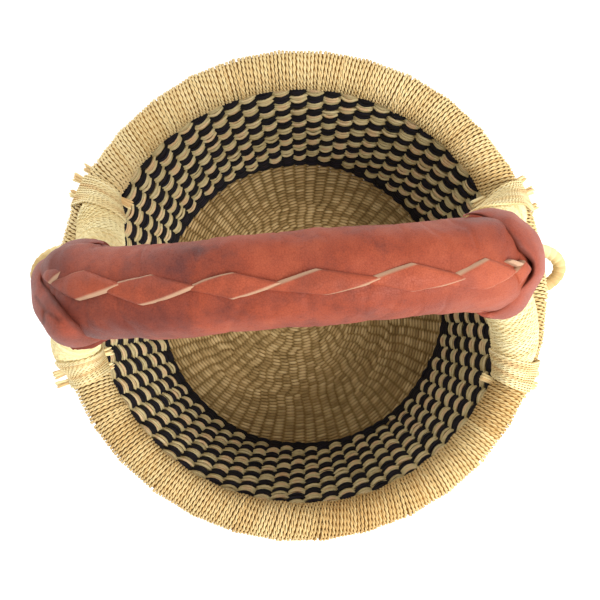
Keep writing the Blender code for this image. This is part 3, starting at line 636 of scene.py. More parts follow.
core_angle = np.linspace(0.0, math.tau, 200, endpoint=False)[:, None]
core_lap = np.linspace(0.0, math.tau, 16, endpoint=False)[None, :]
core_points = rim_point(core_angle, core_lap, RIM_REACH - 0.0014)
core = put("rim_core", core_points, strand_quads(1, 200, 16, closed=True))
core_straw, wire, surface = shader("core_grass", 0.85)
grass_place = wire.node("ShaderNodeTexCoord", output=3)
grass = wire.node("ShaderNodeTexNoise", None, {"Vector": grass_place, "Scale": 600.0, "Detail": 4.0})
grass_colour = wire.node(
    "ShaderNodeValToRGB", {"stops": [(0.3, dye(120, 84, 36)), (0.7, dye(180, 138, 72))]}, {0: grass}
)
wire.tree.links.new(grass_colour.socket, surface.inputs["Base Color"])
core.data.materials.append(core_straw)
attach(core, "basket")
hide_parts("rim_bundle")


# Handle legs.
# The handle's straw bundle divides at each end in two legs, bound with fine two-ply straw.
# Each leg comes down onto the rim and lies along it.
FORK_HEIGHT = 0.2400
ARCH_HEIGHT = 0.2975
LEFT_FORK = np.array([-0.1180, -0.0022])
RIGHT_FORK = np.array([0.1050, 0.0118])
ARCH_BOW = 0.0056
ARCH_SQUARENESS = 2.2
GRIP_RADIUS = 0.0229
LEG_RADIUS = 0.0150
CUFF_HEIGHT = 0.2180
LEG_SPLIT = 0.00965
TOE_RISE = 0.0095
TOE_RADIUS = 0.0092
TOE_TAPER = 0.036
feet = {
    "left_back": (-1, -0.1168, 0.0112, math.radians(151.0), -1),
    "left_front": (-1, -0.1306, -0.0243, math.radians(201.8), 1),
    "right_back": (1, 0.1024, 0.0318, math.radians(27.6), 1),
    "right_front": (1, 0.1210, -0.0012, math.radians(-23.0), -1),
}


# How far inside the middle of the rim each leg comes down, and where its toe rests.
leg_inside = {
    "left_back": (0.011, 0.005), "left_front": (0.0, 0.002),
    "right_back": (0.002, 0.004), "right_front": (0.008, 0.005),
}


def leg_line(foot, share):
    """A leg's centre line: a cubic curve from the fork, through the cuff, onto the rim."""
    side, cuff_x, cuff_y, toe, turn = feet[foot]
    fork = RIGHT_FORK if side > 0 else LEFT_FORK
    start = np.array([fork[0], fork[1] + math.copysign(LEG_SPLIT, math.sin(toe)), FORK_HEIGHT])
    cuff = np.array([cuff_x, cuff_y, CUFF_HEIGHT])
    leave = start + (cuff - start) * 1.6
    back = toe - 0.030 / RIM_RADIUS * turn
    before, at_toe = (RIM_RADIUS - inside for inside in leg_inside[foot])
    arrive = np.array([before * math.cos(back), before * math.sin(back), RIM_HEIGHT + 0.0180])
    end = np.array([at_toe * math.cos(toe), at_toe * math.sin(toe), RIM_HEIGHT + TOE_RISE])
    share = np.asarray(share, float)[..., None]
    rest = 1.0 - share
    return start * rest**3 + leave * 3 * rest**2 * share + arrive * 3 * rest * share**2 + end * share**3


def leg_girth(left):
    """The leg's radius at a distance from its toe: full, then thinner over the last stretch."""
    return TOE_RADIUS + (LEG_RADIUS - TOE_RADIUS) * smooth(left / TOE_TAPER)


def clear_of_rim(points, gap):
    """Points moved straight out of the rim, wherever they lie closer to its circle than the gap."""
    level = unit(points * np.array([1.0, 1.0, 0.0]))
    centre = level * RIM_RADIUS + np.array([0.0, 0.0, RIM_HEIGHT])
    off = points - centre
    distance = np.linalg.norm(off, axis=-1, keepdims=True)
    return np.where(distance < gap, centre + off / np.maximum(distance, 1e-9) * gap, points)


leg_straw = straw_material(
    "leg_straw",
    [(0.05, dye(176, 132, 72)), (0.28, dye(226, 198, 136)), (0.50, dye(247, 230, 174)), (0.90, dye(253, 243, 200))],
    dye(238, 208, 150),
    streak_depth=0.25,
)
LEG_PITCH = 0.0024
for foot, (side_sign, cuff_x, cuff_y, toe, turn) in feet.items():
    fine = leg_line(foot, np.linspace(0.0, 1.0, 400))
    walked = np.concatenate([[0.0], np.cumsum(np.linalg.norm(np.diff(fine, axis=0), axis=1))])
    first = np.interp(-0.230, -fine[:, 2], walked)
    turns = (walked[-1] - first) / LEG_PITCH
    stations = int(turns * 44)
    spin = np.linspace(0.0, turns * math.tau, stations)
    at = first + (walked[-1] - first) * spin / spin[-1]
    share = np.interp(at, walked, np.linspace(0.0, 1.0, 400))
    line = leg_line(foot, share)
    facing = np.array([math.cos(toe), math.sin(toe), 0.0])
    side, top = frames_along(fine, facing)
    side = unit(np.stack([np.interp(at, walked, side[:, k]) for k in range(3)], axis=-1))
    top = unit(np.stack([np.interp(at, walked, top[:, k]) for k in range(3)], axis=-1))
    left = walked[-1] - at
    close = np.clip(left / 0.005, 0.02, 1.0)
    tucked = 0.0014 * smooth((0.009 - (at - first)) / 0.006)
    girth = (leg_girth(left) - 0.0008 - tucked) * np.sqrt(close * (2.0 - close))
    out = side * np.cos(spin)[:, None] + top * np.sin(spin)[:, None]
    path = clear_of_rim(line + out * girth[:, None], RIM_REACH + 0.0012)
    tangent = unit(np.gradient(path, axis=0))
    wrap_side = unit(np.cross(tangent, out))
    drift = np.interp(spin, np.arange(0.0, spin[-1] + 9.0, 4.4), chance.normal(0.0, 1.5, len(np.arange(0.0, spin[-1] + 9.0, 4.4))))
    leg_points = two_ply(path, wrap_side, out, drift, 0.00056, 0.00062, 0.0078)
    leg_tone = 0.60 + 0.40 * np.interp(spin, np.arange(0, spin[-1] + 7.0, 2.2), np.tanh(chance.normal(0, 0.8, len(np.arange(0, spin[-1] + 7.0, 2.2)))))
    wrap = put(
        "leg_wrap_" + foot,
        leg_points,
        strand_quads(2, stations, 4),
        {"straw": straw_trait(leg_points, leg_tone[None, :, None])},
    )
    wrap.data.materials.append(leg_straw)
    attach(wrap, "basket")
    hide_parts("leg_binding_" + foot)
    core_line = leg_line(foot, np.linspace(0.0, 1.0, 40))
    core_side, core_top = frames_along(core_line, facing)
    core_left = walked[-1] - np.interp(np.linspace(0.0, 1.0, 40), np.linspace(0.0, 1.0, 400), walked)
    taper = (leg_girth(core_left) - 0.0021) * np.sqrt(np.clip(core_left / 0.006, 0.02, 1.0))
    ring = np.linspace(0.0, math.tau, 16, endpoint=False)
    core_points = carried(
        core_line, core_side, core_top, taper[:, None] * np.cos(ring)[None, :], taper[:, None] * np.sin(ring)[None, :]
    )
    core_points = clear_of_rim(core_points, RIM_REACH + 0.0004)
    leg_core = put("leg_core_" + foot, core_points, strand_quads(1, 40, 16))
    leg_core.data.materials.append(core_straw)
    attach(leg_core, "basket")
    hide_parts("leg_bundle_" + foot)


# Foot lashings.
# A two-ply strand winds round each foot and the rim together, side by side, and passes
# between the stakes under the rim. Its trimmed ends stand out past the rim.
LASH_TURNS = 13
LASH_PITCH = 0.0017
LASH_STEPS = 90
LASH_LEAN = math.radians(9.0)


def lashing_line(foot):
    """The lashing's path: in a leaning plane that moves along the rim, the outermost point,
    turn after turn, of the discs that the plane cuts from balls along leg and rim."""
    side_sign, cuff_x, cuff_y, toe, turn = feet[foot]
    turns = np.linspace(0.0, LASH_TURNS, LASH_TURNS * LASH_STEPS + 1)
    angle = toe - turn * (0.0005 + LASH_PITCH * turns) / RIM_RADIUS
    middle = round_wall(angle, RIM_RADIUS, RIM_HEIGHT)
    outwards = outwards_at(angle)
    up = np.array([0.0, 0.0, 1.0])
    toewards = np.cross(up, outwards) * turn
    rise_way = up * math.cos(LASH_LEAN) + toewards * math.sin(LASH_LEAN)
    normal = np.cross(outwards, rise_way)
    leg = leg_line(foot, np.linspace(0.0, 1.0, 49))
    beside = angle[:, None] + np.linspace(-1.0, 1.0, 17)[None, :] * RIM_REACH / RIM_RADIUS
    rim = round_wall(beside, RIM_RADIUS, RIM_HEIGHT)
    spots = np.concatenate([np.broadcast_to(leg, (len(turns), 49, 3)), rim], axis=1) - middle[:, None, :]
    from_toe = np.concatenate([np.cumsum(np.linalg.norm(np.diff(leg, axis=0), axis=1)[::-1])[::-1], [0.0]])
    size = np.concatenate([leg_girth(from_toe) + 0.0009, np.full(17, RIM_REACH + 0.0014)])
    depth = np.sum(spots * normal[:, None, :], axis=-1)
    disc = np.sqrt(np.maximum(size**2 - depth**2, 0.0))
    facing = -math.pi / 2 + math.tau * turns
    a = np.sum(spots * outwards[:, None, :], axis=-1)
    b = np.sum(spots * rise_way[:, None, :], axis=-1)
    far = a * np.cos(facing)[:, None] + b * np.sin(facing)[:, None] + disc
    far = np.where(depth**2 < size**2, far, -1.0)
    pick = far.argmax(axis=1)[:, None]
    a = np.take_along_axis(a, pick, 1)[:, 0] + np.take_along_axis(disc, pick, 1)[:, 0] * np.cos(facing)
    b = np.take_along_axis(b, pick, 1)[:, 0] + np.take_along_axis(disc, pick, 1)[:, 0] * np.sin(facing)
    out = outwards * np.cos(facing)[:, None] + rise_way * np.sin(facing)[:, None]
    return middle + outwards * a[:, None] + rise_way * b[:, None], out


def evened(path, along_with, spacing):
    """A path resampled at equal spacing, with the direction that goes along with it."""
    walked = np.concatenate([[0.0], np.cumsum(np.linalg.norm(np.diff(path, axis=0), axis=1))])
    at = np.linspace(0.0, walked[-1], int(walked[-1] / spacing))
    even = np.stack([np.interp(at, walked, path[:, k]) for k in range(3)], axis=-1)
    way = np.stack([np.interp(at, walked, along_with[:, k]) for k in range(3)], axis=-1)
    return even, unit(way)


def seen_at(pixels, height):
    """Points at given heights that the camera sees at image points."""
    scale = (camera_place[2] - height) / FOCAL_PIXELS
    x = camera_place[0] + (pixels[..., 0] - NADIR_PIXEL[0]) * scale
    y = camera_place[1] - (pixels[..., 1] - NADIR_PIXEL[1]) * scale
    return np.stack([x, y, height + 0.0 * x], axis=-1)


end_counts = {"left_back": (3, 1), "left_front": (2, 2), "right_back": (3, 1), "right_front": (3, 1)}
# Each trimmed end as the camera sees it: its middle in pixels, its height, and whether it points outwards.
end_places = {
    "left_back": [((89, 169), 0.150, True), ((78, 178), 0.150, True), ((75, 194), 0.148, True), ((126, 203), 0.144, False)],
    "left_front": [((58, 374), 0.149, True), ((62, 384), 0.147, True), ((105, 352), 0.145, False), ((107, 367), 0.143, False)],
    "right_back": [((521, 180), 0.150, True), ((529, 191), 0.150, True), ((533, 207), 0.148, True), ((478, 202), 0.144, False)],
    "right_front": [((534, 373), 0.150, True), ((532, 385), 0.150, True), ((522, 393), 0.148, True), ((487, 379), 0.146, False)],
}
lash_straw = straw_material(
    "lashing_straw",
    [(0.05, dye(190, 140, 92)), (0.26, dye(224, 190, 134)), (0.50, dye(242, 222, 166)), (0.90, dye(250, 238, 194))],
    dye(234, 202, 148),
    streak_depth=0.3,
)
for foot in feet:
    lash_path, lash_out = evened(*lashing_line(foot), 0.0014)
    tangent = unit(np.gradient(lash_path, axis=0))
    lash_side = unit(np.cross(tangent, lash_out))
    drift = np.interp(np.arange(len(lash_path)), np.arange(0, len(lash_path) + 40, 31), chance.normal(0.0, 1.5, len(np.arange(0, len(lash_path) + 40, 31))))
    lash_points = two_ply(lash_path, lash_side, lash_out, drift, 0.00052, 0.00052, 0.0074)
    lash_tone = 0.52 + 0.22 * np.sin(np.arange(len(lash_path)) * 0.013) + 0.2 * np.sin(np.arange(len(lash_path)) * 0.13)
    lashing = put(
        "lashing_wrap_" + foot,
        lash_points,
        strand_quads(2, len(lash_path), 4),
        {"straw": straw_trait(lash_points, lash_tone[None, :, None])},
    )
    lashing.data.materials.append(lash_straw)
    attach(lashing, "basket")
    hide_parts("foot_lashing_" + foot)
    outer, inner = end_counts[foot]
    nodes = ["lashing_end_%s_outer_%d" % (foot, n + 1) for n in range(outer)]
    nodes += ["lashing_end_%s_inner_%d" % (foot, n + 1) for n in range(inner)]
    tuft_points = []
    tuft_tones = []
    for pixels, height, outside in end_places[foot]:
        middle = seen_at(np.array(pixels, float), height)
        level = unit(middle * np.array([1.0, 1.0, 0.0]))
        way = level if outside else -level
        beside = np.cross(np.array([0.0, 0.0, 1.0]), way)
        straws = 6
        lane = np.array([-1.0, 0.0, 1.0, -0.6, 0.5, 0.1])
        layer = np.array([0.0, 0.0, 0.0, 1.0, 1.0, -1.0])
        root = middle - way * 0.0068
        start = root + beside * (lane * 0.0013)[:, None] + np.array([0.0, 0.0, 0.0013]) * layer[:, None]
        heading = unit(way + beside * (lane * 0.07 + chance.normal(0.0, 0.04, straws))[:, None])
        reach = 0.0112 + chance.normal(0.0, 0.0004, straws)
        travel = np.linspace(0.0, 1.0, 8)
        line = (
            start[:, None, :]
            + heading[:, None, :] * (reach[:, None] * travel)[..., None]
            - np.array([0.0, 0.0, 0.0022]) * (travel**2)[None, :, None]
        )
        side, top = frames_along(line, np.array([0.0, 0.0, 1.0]))
        across, above = profile_ring(6, 0.00095, 0.00080)
        blunt = np.sqrt(np.clip((1.0 - travel) / 0.12, 0.05, 1.0))[None, :, None]
        tuft_points.append(carried(line, side, top, across * blunt, above * blunt))
        tuft_tones.append(chance.uniform(0.0, 0.75, straws))
    tuft_points = np.concatenate(tuft_points)
    tuft = put(
        "lashing_ends_" + foot,
        tuft_points,
        strand_quads(len(tuft_points), 8, 6),
        {"straw": straw_trait(tuft_points, np.concatenate(tuft_tones)[:, None, None])},
    )
    tuft.data.materials.append(lash_straw)
    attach(tuft, "basket")
    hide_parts(*nodes)


# Grip.
# A sleeve of soft red-brown leather is pulled round the straw arch and closed along the top.
# It is creased and mottled by the hand, and darker and purpler towards the left end.


def arch_line(share):
    """The handle's centre line: a superellipse from the left fork over to the right fork."""
    angle = math.pi * (1.0 - np.asarray(share, float))
    power = 2.0 / ARCH_SQUARENESS
    level = np.sign(np.cos(angle)) * np.abs(np.cos(angle)) ** power
    rise = np.maximum(np.sin(angle), 0.0) ** power
    along = (1.0 + level) / 2.0
    x = LEFT_FORK[0] + (RIGHT_FORK[0] - LEFT_FORK[0]) * along
    y = LEFT_FORK[1] + (RIGHT_FORK[1] - LEFT_FORK[1]) * along - ARCH_BOW * np.sin(math.pi * along)
    y = y - 0.0037 * smooth((-0.024 - x) / 0.045) * (1.0 - 0.6 * smooth((-0.095 - x) / 0.02))
    return np.stack([x, y, FORK_HEIGHT + (ARCH_HEIGHT - FORK_HEIGHT) * rise], axis=-1)


def ripples(points, waves, shortest, longest, seed):
    """Soft unevenness: a sum of sine waves in random directions, from -1 to 1 or so."""
    draw = np.random.default_rng(seed)
    length = np.exp(draw.uniform(math.log(shortest), math.log(longest), waves))
    way = unit(draw.normal(0.0, 1.0, (waves, 3)))
    turn = draw.uniform(0.0, math.tau, waves)
    return np.sin(points @ (way * (math.tau / length)[:, None]).T + turn).sum(axis=-1) / math.sqrt(waves)


def on_grip(share, angle, reach):
    """Points round the arch: share along it, angle from its outer side, distance from its line."""
    share, angle, reach = np.broadcast_arrays(share, angle, reach)
    fine = np.linspace(0.0, 1.0, 1201)
    line = arch_line(fine)
    outwards, across = frames_along(line, np.array([0.0, 1.0, 0.0]))
    spot = np.stack([np.interp(share, fine, line[:, k]) for k in range(3)], axis=-1)
    out = unit(np.stack([np.interp(share, fine, outwards[:, k]) for k in range(3)], axis=-1))
    aside = unit(np.stack([np.interp(share, fine, across[:, k]) for k in range(3)], axis=-1))
    return spot + (out * np.cos(angle)[..., None] + aside * np.sin(angle)[..., None]) * reach[..., None]


def leather_material(name, bright, middle, dark, smudges=(), grain=1.0):
    """Leather: three tones in slow mottling, fine cell grain, creases, and hand-darkened places."""
    made, wire, surface = shader(name, 0.5, 0.26)
    surface.inputs["Sheen Weight"].default_value = 0.04
    surface.inputs["Sheen Roughness"].default_value = 0.45
    place = wire.node("ShaderNodeTexCoord", output=3)
    slow = wire.node("ShaderNodeTexNoise", None, {"Vector": place, "Scale": 22.0, "Detail": 5.0, "Roughness": 0.6})
    quick = wire.node("ShaderNodeTexNoise", None, {"Vector": place, "Scale": 130.0, "Detail": 6.0, "Roughness": 0.7})
    cells = wire.node("ShaderNodeTexVoronoi", {"feature": "DISTANCE_TO_EDGE"}, {"Vector": place, "Scale": 850.0})
    pores = cells.maths("MINIMUM", cells * 9.0, 1.0)
    east = wire.node("ShaderNodeSeparateXYZ", None, {0: place})
    # Slow and quick mottling, lighter towards the right (+x) end.
    mottle_lighter_east = slow * 1.1 + quick * 0.45 + east * 0.8 - 0.27
    colour = wire.node("ShaderNodeValToRGB", {"stops": [(0.30, dark), (0.50, middle), (0.70, bright)]}, {0: mottle_lighter_east})
    bruise_place = wire.node("ShaderNodeVectorMath", {"operation": "ADD"}, {0: place, 1: (3.1, 1.7, 0.4)})
    bruises = wire.node("ShaderNodeTexNoise", None, {"Vector": bruise_place, "Scale": 30.0, "Detail": 3.0})
    bruised = wire.node("ShaderNodeMapRange", None, {0: bruises - east * 0.5, 1: 0.50, 2: 0.70, 3: 0.0, 4: 0.55})
    colour = wire.node(
        "ShaderNodeMix",
        {"data_type": "RGBA", "blend_type": "MIX"},
        {"Factor": bruised, 6: colour, 7: dye(116, 58, 48)},
        output=2,
    )
    for spot, size, depth in smudges:
        away = wire.node("ShaderNodeVectorMath", {"operation": "DISTANCE"}, {0: place, 1: spot}, output=1)
        ragged = away + (quick - 0.5) * size * 1.6
        near = wire.node("ShaderNodeMapRange", None, {0: ragged, 1: size, 2: size * 0.25, 3: 0.0, 4: depth})
        colour = wire.node(
            "ShaderNodeMix",
            {"data_type": "RGBA", "blend_type": "MIX"},
            {"Factor": near, 6: colour, 7: dye(84, 46, 44)},
            output=2,
        )
    deep = wire.node(
        "ShaderNodeMix",
        {"data_type": "RGBA", "blend_type": "MULTIPLY"},
        {"Factor": (1.0 - pores) * 0.35, 6: colour, 7: dye(160, 120, 110)},
        output=2,
    )
    wire.tree.links.new(deep.socket, surface.inputs["Base Color"])
    gloss = 0.44 + quick * 0.24 + (1.0 - pores) * 0.12
    wire.tree.links.new(gloss.socket, surface.inputs["Roughness"])
    relief = pores * 0.35 + quick * 0.9 * grain
    bump = wire.node("ShaderNodeBump", None, {"Strength": 0.45, "Distance": 0.0005, "Height": relief})
    wire.tree.links.new(bump.socket, surface.inputs["Normal"])
    return made


grip_leather = leather_material(
    "grip_leather",
    dye(162, 80, 54),
    dye(146, 67, 44),
    dye(112, 53, 40),
    smudges=(
        ((-0.086, -0.020, 0.296), 0.034, 0.40),
        ((-0.052, 0.0045, 0.3165), 0.0085, 0.7),
        ((-0.045, 0.012, 0.3120), 0.0050, 0.6),
        ((-0.066, 0.010, 0.3130), 0.0040, 0.5),
        ((0.008, 0.016, 0.3080), 0.0070, 0.35),
        ((0.036, 0.012, 0.3130), 0.0050, 0.45),
    ),
)
grip_share = np.linspace(0.045, 0.955, 260)[:, None]
grip_turn = np.linspace(0.0, math.tau, 96, endpoint=False)[None, :]
grip_plain = on_grip(grip_share, grip_turn, GRIP_RADIUS - 0.0006)
from_seam = np.abs((grip_turn + math.pi) % math.tau - math.pi)
pulled = -0.0013 * np.exp(-((from_seam / 0.34) ** 2)) + 0.0007 * np.exp(-(((from_seam - 0.75) / 0.35) ** 2))
dents = ripples(grip_plain, 26, 0.020, 0.090, 3) * 0.00055 + ripples(grip_plain, 30, 0.006, 0.018, 4) * 0.00016
wrinkles = np.exp(-((ripples(grip_plain * np.array([1.0, 0.4, 0.4]), 9, 0.012, 0.030, 21) / 0.16) ** 2)) * -0.00045
left_end = np.exp(-(((grip_share - 0.15) / 0.075) ** 2))
right_end = np.exp(-(((grip_share - 0.83) / 0.070) ** 2))
back_side = smooth(1.5 * np.sin(grip_turn))
front_side = smooth(-1.5 * np.sin(grip_turn))
fuller = 0.0036 * left_end * back_side + right_end * (0.0012 * back_side + 0.0026 * front_side)
grip_points = on_grip(grip_share, grip_turn, GRIP_RADIUS - 0.0006 + pulled + dents + wrinkles + fuller)
grip = put("grip_sleeve", grip_points, strand_quads(1, 260, 96))
grip.data.materials.append(grip_leather)
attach(grip, "basket")
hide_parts("grip_cover", "handle_bundle")


# Lacing.
# One flat leather thong closes the sleeve along the top. It is folded over at each stitch, so it
# shows as a chain of long rhombs, each tucked over the next, whose two cut edges are pale.
# Each row has a rhomb's left, back, right and front tips as the camera sees them, in pixels.
rhomb_tips = np.array(
    [
        [(39, 277), (52, 265), (63, 271), (47, 284)],
        [(43, 282), (83, 267), (123, 284), (74, 302)],
        [(91, 288), (150, 272), (198, 286), (140, 307)],
        [(177, 289), (231, 271), (285, 283), (232, 302)],
        [(258, 291), (316, 267), (388, 279), (326, 297)],
        [(356, 285), (415, 261), (474, 279), (415, 294)],
        [(437, 287), (490, 257), (522, 272), (482, 294)],
        [(508, 262), (512, 259), (525, 264), (519, 267)],
        [(517, 273), (526, 260), (532, 268), (520, 287)],
    ],
    float,
)


def grip_place(pixels, reach):
    """Share and angle on the grip, at a distance from its line, that the camera sees at image points."""
    share = np.linspace(0.02, 0.98, 481)
    angle = np.linspace(-1.9, 1.9, 241)
    surface_points = on_grip(share[:, None], angle[None, :], reach)
    off = surface_points - camera_place
    u = NADIR_PIXEL[0] - FOCAL_PIXELS * off[..., 0] / off[..., 2]
    v = NADIR_PIXEL[1] + FOCAL_PIXELS * off[..., 1] / off[..., 2]
    flat = np.asarray(pixels, float).reshape(-1, 2)
    miss = (u.ravel()[None, :] - flat[:, :1]) ** 2 + (v.ravel()[None, :] - flat[:, 1:]) ** 2
    best = miss.argmin(axis=1)
    found = np.stack([share[best // 241], angle[best % 241]], axis=-1)
    return found.reshape(np.asarray(pixels).shape)


def slab_quads(count, rows, columns):
    """Quads of slabs: a top grid, a bottom grid turned over, and the strip that joins their edges."""
    grid = np.arange(rows * columns).reshape(rows, columns)
    face = np.stack([grid[:-1, :-1], grid[1:, :-1], grid[1:, 1:], grid[:-1, 1:]], axis=-1).reshape(-1, 4)
    edge = np.concatenate([grid[0, :-1], grid[:-1, -1], grid[-1, :0:-1], grid[:0:-1, 0]])
    ahead = np.roll(edge, -1)
    under = rows * columns
    strip = np.stack([edge, ahead, ahead + under, edge + under], axis=-1)
    one = np.concatenate([face, face[:, ::-1] + under, strip])
    return (one[None] + (np.arange(count) * 2 * under)[:, None, None]).reshape(-1, 4)


rhomb_steps = np.concatenate([[0.0, 0.03, 0.06, 0.09, 0.12, 0.16], np.linspace(0.22, 0.78, 15), [0.84, 0.88, 0.91, 0.94, 0.97, 1.0]])
u = rhomb_steps[:, None]
v = rhomb_steps[None, :]
lace_points = []
lace_edge = []
for number, corners in enumerate(grip_place(rhomb_tips, GRIP_RADIUS + 0.0015)):
    left, back, right, front = corners
    bow = 0.10 * np.sin(math.pi * u) * (2.0 * v - 1.0)
    spot = (
        left * ((1 - u) * (1 - v))[..., None]
        + back * (u * (1 - v))[..., None]
        + right * (u * v)[..., None]
        + front * ((1 - u) * v)[..., None]
        + (front - back) * (bow * 0.5)[..., None]
    )
    small = number in (0, 7, 8)
    fold = np.minimum(u, 1.0 - u) / 0.16
    cut = np.minimum(v, 1.0 - v) / 0.10
    rounded = np.sqrt(np.clip(fold * (2.0 - fold), 0.0, 1.0) * (fold < 1.0) + (fold >= 1.0))
    shorn = np.clip(cut, 0.0, 1.0) + 0.0 * u
    height = 0.0022 * np.minimum(rounded, 0.25 + 0.75 * shorn) - 0.0004
    shingle = 0.0007 * (u + v - 1.0)
    swell = 0.0007 * np.sin(math.pi * u) * np.sin(math.pi * v)
    raised = GRIP_RADIUS - 0.0012 + height + shingle + swell + (0.0008 if small else 0.0)
    top_skin = on_grip(spot[..., 0], spot[..., 1], raised)
    top_skin = on_grip(spot[..., 0], spot[..., 1], raised + ripples(top_skin, 12, 0.006, 0.02, 31) * 0.00018)
    low_skin = on_grip(spot[..., 0], spot[..., 1], np.full(spot.shape[:2], GRIP_RADIUS - 0.0034))
    lace_points.append(np.stack([top_skin, low_skin]))
    pale = np.maximum(1.0 - smooth((cut - 0.55) / 0.7) + 0.0 * u, 1.0 if number == 7 else 0.0)
    lace_edge.append(np.stack([pale, np.ones_like(pale)]))

lace = put(
    "lace_rhombs",
    np.stack(lace_points),
    slab_quads(len(rhomb_tips), rhomb_steps.size, rhomb_steps.size),
    {"cut_edge": np.stack(lace_edge).ravel()},
)
lace_leather = leather_material("lace_leather", dye(172, 86, 58), dye(158, 75, 50), dye(130, 63, 44))
tree = lace_leather.node_tree
wire = Wire(tree, None)
painted = Wire(tree, tree.nodes["Principled BSDF"].inputs["Base Color"].links[0].from_socket)
edge_mask = wire.node("ShaderNodeAttribute", {"attribute_name": "cut_edge"}, output=2)
raw_edge = wire.node(
    "ShaderNodeMix",
    {"data_type": "RGBA", "blend_type": "MIX"},
    {"Factor": edge_mask * 0.85, 6: painted, 7: dye(186, 152, 122)},
    output=2,
)
tree.links.new(raw_edge.socket, tree.nodes["Principled BSDF"].inputs["Base Color"])
lace.data.materials.append(lace_leather)
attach(lace, "basket")
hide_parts("grip_lacing")


# Fork hoods.
# A leather hood is drawn over each fork and down both legs. Its upper edge is rolled
# into a thick band that lies round the end of the grip.
hood_leather = leather_material("hood_leather", dye(158, 76, 54), dye(142, 66, 48), dye(112, 54, 42), grain=1.3)


def softened(name, node, voxel, rounds):
    """A CAD hood as soft leather: merged, remeshed evenly, smoothed and creased."""
    mesh = frame["nodes"][node].data.copy()
    piece = bpy.data.objects.new(name, mesh)
    bpy.context.scene.collection.objects.link(piece)
    mesh.materials.clear()
    weld = piece.modifiers.new("weld", "WELD")
    weld.merge_threshold = 0.00002
    remesh = piece.modifiers.new("remesh", "REMESH")
    remesh.mode = "VOXEL"
    remesh.voxel_size = voxel
    relax = piece.modifiers.new("relax", "SMOOTH")
    relax.factor = 0.5
    relax.iterations = rounds
    depsgraph = bpy.context.evaluated_depsgraph_get()
    finished = bpy.data.meshes.new_from_object(piece.evaluated_get(depsgraph))
    piece.modifiers.clear()
    piece.data = finished
    points = np.empty(len(finished.vertices) * 3)
    finished.vertices.foreach_get("co", points)
    points = points.reshape(-1, 3)
    normals = np.empty(len(finished.vertices) * 3)
    finished.vertices.foreach_get("normal", normals)
    crease = ripples(points, 24, 0.010, 0.045, 8) * 0.00035
    furrow = np.exp(-((ripples(points, 7, 0.014, 0.034, 12) / 0.13) ** 2)) * -0.0006
    points = fitted(points + normals.reshape(-1, 3) * (crease + furrow)[:, None], node.split("_")[-1])
    finished.vertices.foreach_set("co", points.ravel())
    finished.update()
    finished.shade_smooth()
    return piece


def fitted(points, word):
    """A hood's points drawn in under its band: closer to the arch above, and up the legs below."""
    share = np.linspace(0.0, 0.3, 90) if word == "left" else np.linspace(0.7, 1.0, 90)
    line = arch_line(share)
    near = ((points[:, None, :] - line[None]) ** 2).sum(axis=-1).argmin(axis=1)
    off = points - line[near]
    high = smooth((points[:, 2:] - 0.226) / 0.010)
    reach = np.linalg.norm(off, axis=1, keepdims=True)
    closer = np.minimum(reach, 0.0222) + 0.25 * np.maximum(reach - 0.0222, 0.0)
    drawn = line[near] + off * (closer / np.maximum(reach, 1e-9))
    points = points + (drawn - points) * high
    legs = [leg_line(foot, np.linspace(0.0, 0.6, 60)) for foot in feet if foot.startswith(word)]
    spots = np.concatenate(legs)
    upward = np.concatenate([-unit(np.gradient(leg, axis=0)) for leg in legs])
    near = ((points[:, None, :] - spots[None]) ** 2).sum(axis=-1).argmin(axis=1)
    return points + upward[near] * (0.0135 * smooth((0.240 - points[:, 2:]) / 0.020))


def rounded_line(corners, count):
    """A smooth line through corners: between two of them, a cubic that also heeds the next ones."""
    corners = np.asarray(corners, float)
    padded = np.concatenate([2 * corners[:1] - corners[1:2], corners, 2 * corners[-1:] - corners[-2:-1]])
    at = np.linspace(0.0, len(corners) - 1.0 - 1e-9, count)
    step = at.astype(int)
    rest = (at - step)[:, None]
    a, b, c, d = padded[step], padded[step + 1], padded[step + 2], padded[step + 3]
    return b + 0.5 * rest * (c - a + rest * (2 * a - 5 * b + 4 * c - d + rest * (3 * (b - c) + d - a)))


def from_line(pixels, line):
    """Distance in pixels from image points to a line of corners."""
    nearest = np.full(pixels.shape[:-1], 1e9)
    for first, second in zip(np.array(line[:-1], float), np.array(line[1:], float)):
        way = second - first
        share = np.clip(((pixels - first) @ way) / (way @ way), 0.0, 1.0)
        nearest = np.minimum(nearest, np.linalg.norm(pixels - first - share[..., None] * way, axis=-1))
    return nearest


